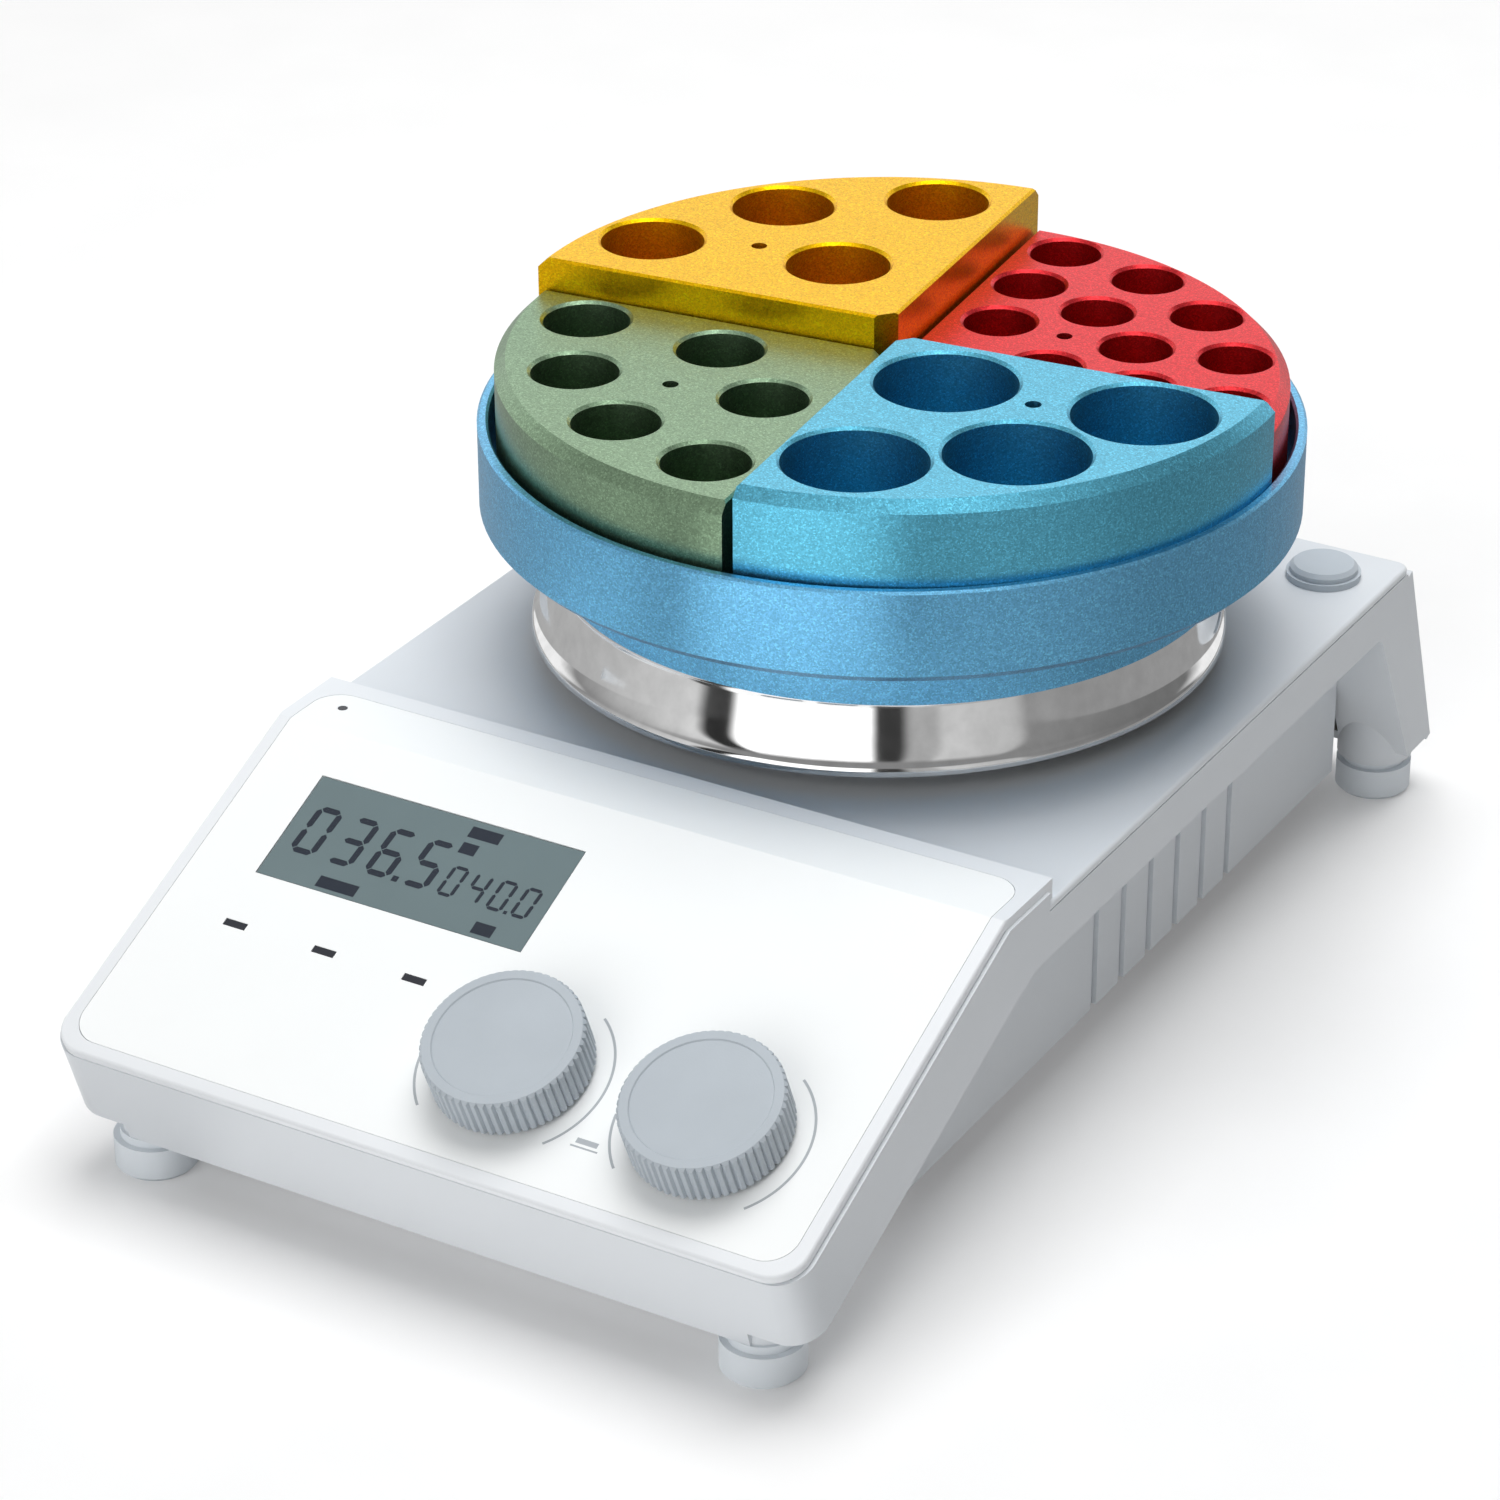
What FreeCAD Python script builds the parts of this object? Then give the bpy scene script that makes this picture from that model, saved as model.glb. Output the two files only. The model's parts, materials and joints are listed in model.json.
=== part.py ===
import FreeCAD, Part
import Sketcher
import os
import re

# Dry block heater: a sloping-front hot plate base, a round carrier pan that stands on the plate,
# and four quarter-round blocks with wells in the pan.
# Frame: X to the right, Y to the back, Z up, origin on the floor under the middle. Millimetres.

SIZES = {
    # Housing
    "body_width": "160.0",
    "wall": "2.5",
    "housing_bottom": "8.5",
    "front_set_back": "7.2",
    "front_corner": "7.0",
    "band_height": "9.7",
    "band_depth": "18.5",
    "band_reach": "13.0",
    "tub_rear_gap": "21.6",
    "front_floor": "13.4",
    "slab_foot": "10.0",
    "slab_top": "15.6",
    "slab_corner": "3.0",
    "seam_chamfer": "0.35",
    "groove_first_y": "2.9",
    "groove_pitch": "11.9",
    "groove_count": "6",
    "groove_width": "2.4",
    "groove_depth": "1.0",
    "groove_top_gap": "4.5",
    "post_size": "8.0",
    "post_height": "13.0",
    "post_inset": "12.0",
    # Control panel, bent from a flat ridge to a slope
    "bend_y": "-59.3",
    "ridge_rise": "4.2",
    "ridge_depth": "18.1",
    "panel_length": "83.7",
    "panel_drop": "33.3753",
    "frame_inset": "0.7",
    "frame_thick": "2.0",
    "frame_edge": "0.7",
    "overlay_margin": "3.0",
    "overlay_ridge": "13.5",
    "overlay_thick": "0.5",
    "overlay_corner": "6.0",
    "sheet_gap": "0.1",
    # Display: in from the left side of the body, and down the slope from the bend
    "display_inset": "47.3",
    "display_down": "23.1",
    "display_width": "59.0",
    "display_height": "24.8",
    "window_flange": "1.6",
    "window_thick": "1.0",
    "lcd_border": "3.5",
    # Indicators
    "lamp_first_inset": "20.8",
    "lamp_pitch": "20.0",
    "lamp_down": "47.7",
    "lamp_width": "4.7",
    "lamp_height": "1.4",
    "power_lamp_inset": "10.1",
    "power_lamp_back": "8.3",
    "power_lamp_radius": "0.9",
    "lamp_flange": "0.8",
    # Knobs and what they turn
    "left_knob_x": "9.2",
    "right_knob_x": "50.4",
    "knob_down": "59.1",
    "knob_radius": "15.3",
    "knob_lift": "0.9",
    "knob_height": "8.5",
    "knob_skin": "2.0",
    "knob_rim": "2.2",
    "knob_dish": "0.25",
    "knob_hub_radius": "6.0",
    "knob_hub_lift": "2.0",
    "rib_count": "60",
    "rib_depth": "0.55",
    "rib_width": "0.9",
    "shaft_radius": "3.0",
    "shaft_rise": "7.2",
    "shaft_gap": "0.05",
    "bush_radius": "4.2",
    "bush_rise": "0.4",
    "encoder_size": "14.0",
    "plunger_radius": "4.3",
    "plunger_thick": "1.0",
    "plunger_depth": "5.2",
    "plunger_room": "0.3",
    "press_room": "1.0",
    # Control board
    "board_side_gap": "4.5",
    "board_top_down": "3.0",
    "board_front_gap": "4.7",
    "board_depth": "10.0",
    "board_thick": "1.6",
    "board_post_inset": "6.0",
    "board_post_radius": "3.0",
    "board_screw_radius": "1.4",
    "board_screw_grip": "6.0",
    "screw_head": "2.6",
    "screw_head_thick": "1.6",
    # Top cover
    "cover_top": "58.4",
    "cover_thick": "1.7",
    "cover_corner": "3.0",
    "cover_edge": "0.8",
    "cover_window": "42.0",
    # Rear panel and what it carries; rear places are measured down from its top edge
    "rear_y": "136.1",
    "rear_bottom": "11.1",
    "rear_lean": "19.6",
    "rear_thick": "2.0",
    "rear_gap": "0.2",
    "rear_screw_inset": "8.0",
    "rear_screw_high": "6.0",
    "rear_screw_low": "38.0",
    "rear_screw_radius": "1.5",
    "rear_screw_grip": "6.0",
    "inlet_x": "-36.0",
    "inlet_down": "21.0",
    "inlet_width": "30.0",
    "inlet_height": "32.0",
    "inlet_depth": "21.0",
    "inlet_rim": "2.2",
    "inlet_flange": "2.0",
    "inlet_mouth_width": "24.0",
    "inlet_mouth_height": "15.6",
    "inlet_mouth_down": "-5.4",
    "inlet_mouth_depth": "18.0",
    "pin_length": "9.0",
    "pin_width": "2.0",
    "pin_height": "4.0",
    "pin_pitch": "7.0",
    "fuse_width": "24.0",
    "fuse_height": "7.4",
    "fuse_down": "9.6",
    "fuse_depth": "16.0",
    "fuse_front": "1.2",
    "slide_gap": "0.3",
    "switch_shift": "1.0",
    "switch_down": "21.0",
    "switch_width": "15.0",
    "switch_height": "24.0",
    "switch_depth": "16.0",
    "switch_rim": "2.0",
    "switch_flange": "1.5",
    "switch_wall": "1.6",
    "rocker_depth": "9.0",
    "rocker_rise": "2.6",
    "rocker_dip": "0.6",
    "rocker_pin_radius": "1.2",
    "rocker_pin_depth": "1.0",
    "rocker_end_gap": "1.6",
    "data_pitch": "28.0",
    "data_down": "21.0",
    "data_width": "31.0",
    "data_height": "12.6",
    "data_plate": "1.0",
    "data_shell_width": "17.0",
    "data_shell_height": "8.4",
    "data_shell_rise": "5.0",
    "data_depth": "10.0",
    "probe_socket_inset": "10.5",
    "probe_down": "21.0",
    "probe_flange_radius": "9.0",
    "probe_flange": "2.0",
    "probe_body_radius": "7.5",
    "probe_bore_radius": "5.5",
    "probe_bore_depth": "8.0",
    "probe_depth": "14.0",
    # Feet
    "foot_radius": "7.9",
    "foot_neck_radius": "6.6",
    "foot_neck": "1.6",
    "foot_edge": "0.9",
    "front_foot_inset": "1.1",
    "front_foot_back": "6.4",
    "rear_foot_inset": "9.3",
    "front_boss_radius": "6.0",
    "front_boss_height": "11.0",
    "foot_screw_radius": "2.1",
    "foot_screw_head": "4.0",
    "foot_screw_head_thick": "2.4",
    "foot_screw_sink": "1.0",
    "foot_screw_grip": "6.0",
    # Bottom plate
    "bottom_inset": "0.2",
    "bottom_thick": "1.8",
    "bottom_gap": "0.2",
    "bottom_screw_radius": "1.6",
    "bottom_screw_grip": "8.0",
    # Hot plate, from the floor up
    "plate_y": "36.4",
    "plate_lift": "4.6",
    "plate_height": "14.2",
    "plate_flare": "4.3",
    "plate_neck_radius": "65.2",
    "plate_flare_height": "6.0",
    "plate_lip": "1.0",
    "plate_skin": "1.3",
    "plate_edge": "1.2",
    "plate_cove": "7.0",
    "core_thick": "7.0",
    "core_gap": "0.4",
    "heater_margin": "1.0",
    "heater_bore": "22.0",
    "heater_thick": "2.0",
    "insulation_gap": "1.0",
    "insulation_bore": "20.0",
    "shield_inset": "4.2",
    "shield_thick": "1.0",
    "pillar_radius": "4.0",
    "pillar_inset": "9.2",
    "sensor_radius": "2.2",
    "sensor_length": "7.0",
    "sensor_x": "9.0",
    "cutout_size": "13.0",
    "cutout_height": "6.0",
    "cutout_x": "-7.0",
    # Stirring drive under the plate
    "bracket_width": "86.0",
    "bracket_length": "60.0",
    "bracket_leg_height": "27.0",
    "bracket_thick": "2.5",
    "bracket_leg": "7.0",
    "motor_radius": "21.0",
    "motor_length": "25.0",
    "motor_boss_radius": "7.0",
    "motor_boss_gap": "0.2",
    "spindle_radius": "2.5",
    "motor_floor": "5.5",
    "rotor_radius": "28.0",
    "rotor_lift": "6.5",
    "rotor_thick": "3.5",
    "rotor_hub_radius": "6.0",
    "rotor_hub_drop": "5.0",
    "magnet_x": "16.0",
    "magnet_width": "12.0",
    "magnet_length": "22.0",
    "magnet_thick": "5.0",
    # Power board
    "power_board_gap": "26.0",
    "power_board_width": "100.0",
    "power_board_length": "28.0",
    "power_board_lift": "5.5",
    "power_post_radius": "2.6",
    "coil_width": "34.0",
    "coil_length": "26.0",
    "coil_height": "20.0",
    "coil_x": "-26.0",
    "can_radius": "8.0",
    "can_height": "18.0",
    "can_x": "14.0",
    "fin_width": "5.0",
    "fin_x": "38.0",
    # Support rod socket and its plug
    "rod_inset": "13.5",
    "rod_back": "31.1",
    "rod_radius": "5.0",
    "rod_socket_radius": "8.0",
    "rod_cover_gap": "0.6",
    "plug_radius": "7.0",
    "plug_head": "3.2",
    "plug_collar_radius": "7.7",
    "plug_collar": "1.4",
    "plug_edge": "0.8",
    "plug_stem_gap": "0.1",
    "plug_stem": "6.0",
    # Carrier pan, which stands a little off the middle of the plate
    "pan_shift_right": "1.8",
    "pan_shift_back": "1.1",
    "pan_wall": "2.2",
    "pan_inner_radius": "79.1",
    "pan_boss_height": "11.4",
    "pan_floor_thick": "3.2",
    "pan_wall_height": "18.9",
    "pan_bevel": "1.6",
    "pan_rim_edge": "0.5",
    "pan_boss_radius": "67.5",
    # Quarter blocks
    "block_clearance": "2.0",
    "block_gap": "0.8",
    "block_turn": "5.6",
    "block_apex": "3.6",
    "blue_slip": "1.5",
    "arc_chamfer": "2.2",
    "straight_chamfer": "0.5",
    "mouth_chamfer": "0.6",
    "well_wall": "1.2",
    "well_web": "2.0",
    "probe_hole_radius": "1.6",
    "probe_hole_depth": "18.0",
    "gold_height": "34.7",
    "gold_well_radius": "10.5",
    "gold_well_depth": "30.0",
    "gold_rim": "3.3",
    "gold_ring_gap": "32.7",
    "gold_middle": "44.0",
    "gold_outer_step": "29.2",
    "gold_probe_inset": "17.4",
    "gold_probe_turn": "0.4",
    "green_height": "28.2",
    "green_well_radius": "8.7",
    "green_well_depth": "23.5",
    "green_rim": "6.2",
    "green_ring_gap": "28.7",
    "green_middle": "44.6",
    "green_outer_step": "23.3",
    "green_inner_step": "44.0",
    "green_probe_inset": "16.4",
    "green_probe_turn": "0.4",
    "blue_height": "32.2",
    "blue_well_radius": "14.0",
    "blue_well_depth": "27.0",
    "blue_rim": "4.1",
    "blue_ring_gap": "34.6",
    "blue_middle": "45.0",
    "blue_outer_step": "29.6",
    "blue_probe_inset": "17.2",
    "blue_probe_turn": "0.7",
    "red_height": "25.7",
    "red_well_radius": "7.3",
    "red_well_depth": "21.0",
    "red_rim": "2.5",
    "red_ring_gap": "18.6",
    "red_middle": "44.5",
    "red_outer_step": "18.4",
    "red_middle_step": "22.6",
    "red_inner_step": "46.5",
    "red_probe_inset": "12.0",
    "red_probe_turn": "0.5",
}

# Heights and places that follow from the sizes
DERIVED = {
    "half_width": "body_width / 2",
    "tub_width": "body_width - 2 * band_reach",
    "tub_half": "tub_width / 2",
    "tub_inside": "tub_half - wall",
    "seam": "cover_top - cover_thick",
    "band_low": "seam - band_height",
    "trough_floor": "band_low + wall",
    "ridge_height": "cover_top + ridge_rise",
    "open_top": "ridge_height + wall",
    "ridge_rear": "bend_y + ridge_depth",
    "panel_tilt": "asin(panel_drop / panel_length)",
    "front_y": "bend_y - panel_length * cos(panel_tilt)",
    "front_seam_y": "front_y + frame_thick * sin(panel_tilt)",
    "front_seam": "ridge_height - panel_drop - frame_thick * cos(panel_tilt)",
    "front_low_y": "front_y + front_set_back",
    "front_slope": "(front_low_y - front_seam_y) / (front_seam - housing_bottom)",
    "front_inside_y": "front_low_y + wall * sqrt(1 + front_slope ^ 2)",
    "front_floor_y": "front_low_y + front_floor",
    "tub_rear_y": "rear_y - tub_rear_gap",
    "tub_floor": "housing_bottom + wall",
    "ledge_top": "rear_bottom + wall",
    "trim_low": "rear_bottom - rear_thick * sin(rear_lean)",
    "groove_height": "band_low - housing_bottom - groove_top_gap",
    "post_front_y": "front_floor_y + post_inset",
    "post_rear_y": "tub_rear_y - wall - post_inset",
    "bottom_low": "housing_bottom + bottom_inset",
    "bottom_top": "bottom_low + bottom_thick",
    "front_foot_x": "tub_half - front_foot_inset",
    "front_foot_y": "front_low_y + front_foot_back",
    "rear_foot_x": "half_width - rear_foot_inset",
    "rear_foot_y": "rear_y - foot_radius",
    "frame_width": "body_width - 2 * frame_inset",
    "overlay_width": "frame_width - 2 * overlay_margin",
    "overlay_length": "panel_length - overlay_margin",
    "display_x": "display_inset - half_width",
    "lamp_first_x": "lamp_first_inset - half_width",
    "power_lamp_x": "power_lamp_inset - half_width",
    "board_width": "body_width - 2 * wall - 2 * board_side_gap",
    "board_post_x": "board_width / 2 - board_post_radius",
    "board_bottom_down": "panel_length - board_front_gap",
    "board_post_low": "board_bottom_down - board_post_inset",
    "board_post_high": "board_top_down + board_post_inset",
    "rear_top": "seam - rear_gap",
    "rear_length": "(rear_top - rear_bottom) / cos(rear_lean)",
    "rear_screw_x": "half_width - rear_screw_inset",
    "probe_x": "tub_inside - probe_socket_inset",
    "data_x": "probe_x - data_pitch",
    "switch_x": "(inlet_x + data_x) / 2 + switch_shift",
    "plate_low": "cover_top + plate_lift",
    "plate_top": "plate_low + plate_height",
    "plate_radius": "plate_neck_radius + plate_flare",
    "core_top": "plate_top - plate_skin",
    "core_low": "core_top - core_thick",
    "heater_low": "core_low - heater_thick",
    "shield_top": "cover_top + shield_thick",
    "shield_radius": "plate_neck_radius - shield_inset",
    "pillar_circle": "plate_neck_radius - pillar_inset",
    "insulation_radius": "pillar_circle - pillar_radius - insulation_gap",
    "heater_radius": "insulation_radius - heater_margin",
    "bracket_low": "bottom_top + bracket_leg_height",
    "bracket_top": "bracket_low + bracket_thick",
    "motor_low": "bracket_low - motor_length",
    "spindle_low": "motor_low + motor_floor",
    "rotor_low": "bracket_top + rotor_lift",
    "rotor_top": "rotor_low + rotor_thick",
    "power_board_y": "tub_rear_y - wall - power_board_gap",
    "rod_x": "half_width - rod_inset",
    "rod_y": "rear_y - rod_back",
    "pan_y": "plate_y + pan_shift_back",
    "pan_under": "plate_top + pan_boss_height",
    "pan_floor": "pan_under + pan_floor_thick",
    "pan_rim_top": "pan_under + pan_wall_height",
    "pan_radius": "pan_inner_radius + pan_wall",
    "block_radius": "pan_inner_radius - block_clearance",
    "gold_outer_circle": "block_radius - gold_rim - gold_well_radius",
    "gold_inner_circle": "gold_outer_circle - gold_ring_gap",
    "green_outer_circle": "block_radius - green_rim - green_well_radius",
    "green_inner_circle": "green_outer_circle - green_ring_gap",
    "blue_outer_circle": "block_radius - blue_rim - blue_well_radius",
    "blue_inner_circle": "blue_outer_circle - blue_ring_gap",
    "red_outer_circle": "block_radius - red_rim - red_well_radius",
    "red_middle_circle": "red_outer_circle - red_ring_gap",
    "red_inner_circle": "red_middle_circle - red_ring_gap",
}


def front_face_y(base, height):
    """Place of the leaning front face, or of its inside, at a height."""
    return f"({base} - front_slope * ({height} - housing_bottom))"


def band_line(depth):
    """Height at the bend of a line parallel to the panel, at a depth under it."""
    return f"(ridge_height - ({depth}) / cos(panel_tilt))"


def front_corner_height(base, depth):
    """Height where the front face meets that line."""
    reach = f"({base} + front_slope * housing_bottom - bend_y)"
    return f"(({band_line(depth)} + {reach} * tan(panel_tilt)) / (1 + front_slope * tan(panel_tilt)))"


def knee_y(depth, height):
    """Place where that line reaches a height."""
    return f"(bend_y + ({height} - {band_line(depth)}) / tan(panel_tilt))"


def rear_outside_y(height):
    """Place of the leaning outer face of the rear panel at a height."""
    return f"(rear_y - ({height} - rear_bottom) * tan(rear_lean))"


def rear_inside_y(height):
    """Place of the housing's rear face, on which the rear panel lies."""
    return f"({rear_outside_y(height)} - rear_thick / cos(rear_lean))"


def ridge_point(back, above):
    """A point given from the bend along the flat ridge, in panel coordinates."""
    along = f"({back} * cos(panel_tilt) + ({above}) * sin(panel_tilt))"
    off = f"(({above}) * cos(panel_tilt) - {back} * sin(panel_tilt))"
    return along, off


# Frames in which pieces are drawn: base point, turning axis and angle
BASE = (("0", "0", "0"), (0, 0, 1), "0")
PANEL = (("0", "bend_y", "ridge_height"), (1, 0, 0), "panel_tilt")
REAR = (("0", rear_outside_y("rear_top"), "rear_top"), (1, 0, 0), "rear_lean - 90")
PLATE = (("0", "plate_y", "0"), (0, 0, 1), "0")
PAN = (("pan_shift_right", "pan_y", "0"), (0, 0, 1), "0")

doc = FreeCAD.newDocument("dry_block_heater")
sheet = doc.addObject("Spreadsheet::Sheet", "sizes")
for row, (word, number) in enumerate(SIZES.items(), 1):
    sheet.set(f"A{row}", word)
    sheet.set(f"B{row}", number)
    sheet.setAlias(f"B{row}", word)
doc.recompute()

pieces = []


def spelled(text):
    """An expression with every derived value written out in driving sizes."""
    longer = re.sub(r"[a-z]\w*", lambda word: f"({DERIVED[word[0]]})" if word[0] in DERIVED else word[0], text)
    return text if longer == text else spelled(longer)


def value(text):
    return float(sheet.evalExpression(spelled(text)))


def bound(text):
    """The same expression as other objects of the document read it."""
    whole = spelled(text)
    return re.sub(r"[a-z]\w*", lambda word: f"sizes.{word[0]}" if word[0] in SIZES else word[0], whole)


def new_piece(label, frame=BASE):
    body = doc.addObject("PartDesign::Body", label)
    body.Label = label
    base, axis, angle = frame
    body.Placement.Rotation = FreeCAD.Rotation(FreeCAD.Vector(*axis), value(angle))
    for axis_name, text in zip("xyz", base):
        body.setExpression(f".Placement.Base.{axis_name}", bound(text))
    if angle != "0":
        body.setExpression(".Placement.Rotation.Angle", bound(angle))
    pieces.append(body)
    return body


def origin_of(body, role):
    return next(item for item in body.Origin.OriginFeatures if item.Role == role)


def new_sketch(body, plane="XY_Plane", height="0"):
    sketch = body.newObject("Sketcher::SketchObject", f"{body.Name}_sketch")
    sketch.AttachmentSupport = (origin_of(body, plane), [""])
    sketch.MapMode = "FlatFace"
    sketch.setExpression("AttachmentOffset.Base.z", bound(height))
    return sketch


def tie(sketch, kind, text, *points):
    number = sketch.addConstraint(Sketcher.Constraint(kind, *points, value(text)))
    sketch.setExpression(f"Constraints[{number}]", bound(text))


def outline(sketch, points):
    """Closed outline with every corner tied to the sizes."""
    first = sketch.GeometryCount
    count = len(points)
    corners = [FreeCAD.Vector(value(across), value(up), 0) for across, up in points]
    for index in range(count):
        sketch.addGeometry(Part.LineSegment(corners[index], corners[(index + 1) % count]), False)
    for index, (across, up) in enumerate(points):
        line = first + index
        sketch.addConstraint(Sketcher.Constraint("Coincident", line, 2, first + (index + 1) % count, 1))
        tie(sketch, "DistanceX", across, -1, 1, line, 1)
        tie(sketch, "DistanceY", up, -1, 1, line, 1)


def rectangle(sketch, across, up, width, height):
    """Rectangle about a middle point."""
    left, right = f"({across} - ({width}) / 2)", f"({across} + ({width}) / 2)"
    low, high = f"({up} - ({height}) / 2)", f"({up} + ({height}) / 2)"
    outline(sketch, [(left, low), (right, low), (right, high), (left, high)])


def circle(sketch, across, up, radius):
    middle = FreeCAD.Vector(value(across), value(up), 0)
    ring = sketch.addGeometry(Part.Circle(middle, FreeCAD.Vector(0, 0, 1), value(radius)), False)
    tie(sketch, "Radius", radius, ring)
    tie(sketch, "DistanceX", across, -1, 1, ring, 3)
    tie(sketch, "DistanceY", up, -1, 1, ring, 3)


def settle(body, feature):
    """Work a new feature out and stop at once where it fails."""
    doc.recompute()
    if "Invalid" in feature.State:
        raise RuntimeError(f"{body.Label}: {feature.Name}: {feature.getStatusString()}")
    return feature


def pad(body, sketch, length, symmetric=False, down=False):
    feature = body.newObject("PartDesign::Pad", f"{body.Name}_pad")
    feature.Profile = sketch
    feature.setExpression("Length", bound(length))
    feature.SideType = "Symmetric" if symmetric else "One side"
    feature.Reversed = down
    return settle(body, feature)


def pocket(body, sketch, length, symmetric=False, up=False):
    """Cut that must take something away."""
    before = body.Shape.Volume
    feature = body.newObject("PartDesign::Pocket", f"{body.Name}_pocket")
    feature.Profile = sketch
    feature.setExpression("Length", bound(length))
    feature.SideType = "Symmetric" if symmetric else "One side"
    feature.Reversed = up
    settle(body, feature)
    if body.Shape.Volume > before - 1e-6:
        raise RuntimeError(f"{body.Label}: a cut takes nothing away")
    return feature


def turn(body, points):
    """Solid of revolution about Z from radius and height pairs."""
    sketch = new_sketch(body, "XZ_Plane")
    outline(sketch, points)
    feature = body.newObject("PartDesign::Revolution", f"{body.Name}_turned")
    feature.Profile = sketch
    feature.ReferenceAxis = (sketch, ["V_Axis"])
    feature.Angle = 360
    return settle(body, feature)


def edges_where(body, chosen):
    """Names of the edges of the last feature whose ends and middle the test accepts."""
    names = []
    for index, edge in enumerate(body.Tip.Shape.Edges, 1):
        low, high = edge.ParameterRange
        points = [edge.valueAt(low), edge.valueAt((low + high) / 2), edge.valueAt(high)]
        if all(chosen(point) for point in points):
            names.append(f"Edge{index}")
    return names


def round_edges(body, chosen, radius):
    names = edges_where(body, chosen)
    if not names:
        raise RuntimeError(f"{body.Label}: no edge to round")
    last = body.Tip
    feature = body.newObject("PartDesign::Fillet", f"{body.Name}_fillet")
    feature.Base = (last, names)
    feature.setExpression("Radius", bound(radius))
    settle(body, feature)


def bevel_edges(body, chosen, size):
    names = edges_where(body, chosen)
    if not names:
        raise RuntimeError(f"{body.Label}: no edge to bevel")
    last = body.Tip
    feature = body.newObject("PartDesign::Chamfer", f"{body.Name}_chamfer")
    feature.Base = (last, names)
    feature.setExpression("Size", bound(size))
    settle(body, feature)


def near(number, text):
    return abs(number - value(text)) < 0.01


def plain_box(label, frame, across, up, width, height, low, tall):
    body = new_piece(label, frame)
    sketch = new_sketch(body, height=low)
    rectangle(sketch, across, up, width, height)
    pad(body, sketch, tall)
    return body


def add_rods(body, places, radius, low, tall):
    sketch = new_sketch(body, height=low)
    for across, up in places:
        circle(sketch, across, up, radius)
    pad(body, sketch, tall)


def drill(body, places, radius, height, depth, up=False):
    sketch = new_sketch(body, height=height)
    for across, along in places:
        circle(sketch, across, along, radius)
    pocket(body, sketch, depth, up=up)


def both_sides(across, *along):
    return [(f"{sign}{across}", place) for sign in ("", "-") for place in along]


FRONT_FEET = both_sides("front_foot_x", "front_foot_y")
REAR_FEET = both_sides("rear_foot_x", "rear_foot_y")
POST_X = "(tub_inside - post_size / 2)"
POSTS = both_sides(POST_X, "post_front_y", "post_rear_y")
BOARD_POSTS = both_sides("board_post_x", "-board_post_high", "-board_post_low")
REAR_SCREWS = both_sides("rear_screw_x", "rear_screw_high", "rear_screw_low")
LAMPS = [f"(lamp_first_x + {index} * lamp_pitch)" for index in range(3)]
KNOBS = {"left": "left_knob_x", "right": "right_knob_x"}


# Lower housing: side bands that follow the panel, and a narrower tub between them
housing = new_piece("lower_housing")
band_corner = front_corner_height("front_low_y", "band_depth")
slab_corner_y = f"({rear_inside_y('band_low')} - slab_top)"
band_sketch = new_sketch(housing, "YZ_Plane")
outline(band_sketch, [
    ("front_seam_y", "front_seam"),
    ("(bend_y + frame_thick * tan(panel_tilt / 2))", "(ridge_height - frame_thick)"),
    ("(ridge_rear - frame_thick)", "(ridge_height - frame_thick)"),
    ("(ridge_rear - frame_thick)", "seam"),
    (rear_inside_y("seam"), "seam"),
    (rear_inside_y("rear_bottom"), "rear_bottom"),
    (f"({rear_inside_y('rear_bottom')} - slab_foot)", "rear_bottom"),
    (slab_corner_y, "band_low"),
    (knee_y("band_depth", "band_low"), "band_low"),
    (front_face_y("front_low_y", band_corner), band_corner),
])
pad(housing, band_sketch, "body_width", symmetric=True)
round_edges(
    housing,
    lambda point: near(abs(point.x), "half_width") and point.y < value("front_low_y") + 0.01
    and abs(point.y - value(front_face_y("front_low_y", str(point.z)))) < 0.01,
    "front_corner",
)
round_edges(housing, lambda point: near(point.y, slab_corner_y) and near(point.z, "band_low"), "slab_corner")
tub_sketch = new_sketch(housing, "YZ_Plane")
outline(tub_sketch, [
    ("front_low_y", "housing_bottom"),
    ("tub_rear_y", "housing_bottom"),
    ("tub_rear_y", "trough_floor"),
    (knee_y("band_depth", "band_low"), "trough_floor"),
    (front_face_y("front_low_y", band_corner), band_corner),
])
pad(housing, tub_sketch, "tub_width", symmetric=True)

# Hollow of the bands, open to the top
inner_depth = "(band_depth - wall)"
inner_corner = front_corner_height("front_inside_y", inner_depth)
trough_sketch = new_sketch(housing, "YZ_Plane")
trough_rear = f"({rear_inside_y('seam')} - wall)"
outline(trough_sketch, [
    (front_face_y("front_inside_y", inner_corner), inner_corner),
    (front_face_y("front_inside_y", "open_top"), "open_top"),
    (trough_rear, "open_top"),
    (trough_rear, "trough_floor"),
    (knee_y(inner_depth, "trough_floor"), "trough_floor"),
])
pocket(housing, trough_sketch, "(body_width - 2 * wall)", symmetric=True)

# Hollow of the tub, open to the bottom, the top and the rear
past_rear = "(rear_y + wall)"
hollow_sketch = new_sketch(housing, "YZ_Plane")
outline(hollow_sketch, [
    ("front_floor_y", "0"),
    ("front_floor_y", "tub_floor"),
    (front_face_y("front_inside_y", "tub_floor"), "tub_floor"),
    (front_face_y("front_inside_y", "open_top"), "open_top"),
    (past_rear, "open_top"),
    (past_rear, "ledge_top"),
    ("(tub_rear_y - wall)", "ledge_top"),
    ("(tub_rear_y - wall)", "0"),
])
pocket(housing, hollow_sketch, "(2 * tub_inside)", symmetric=True)

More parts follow.
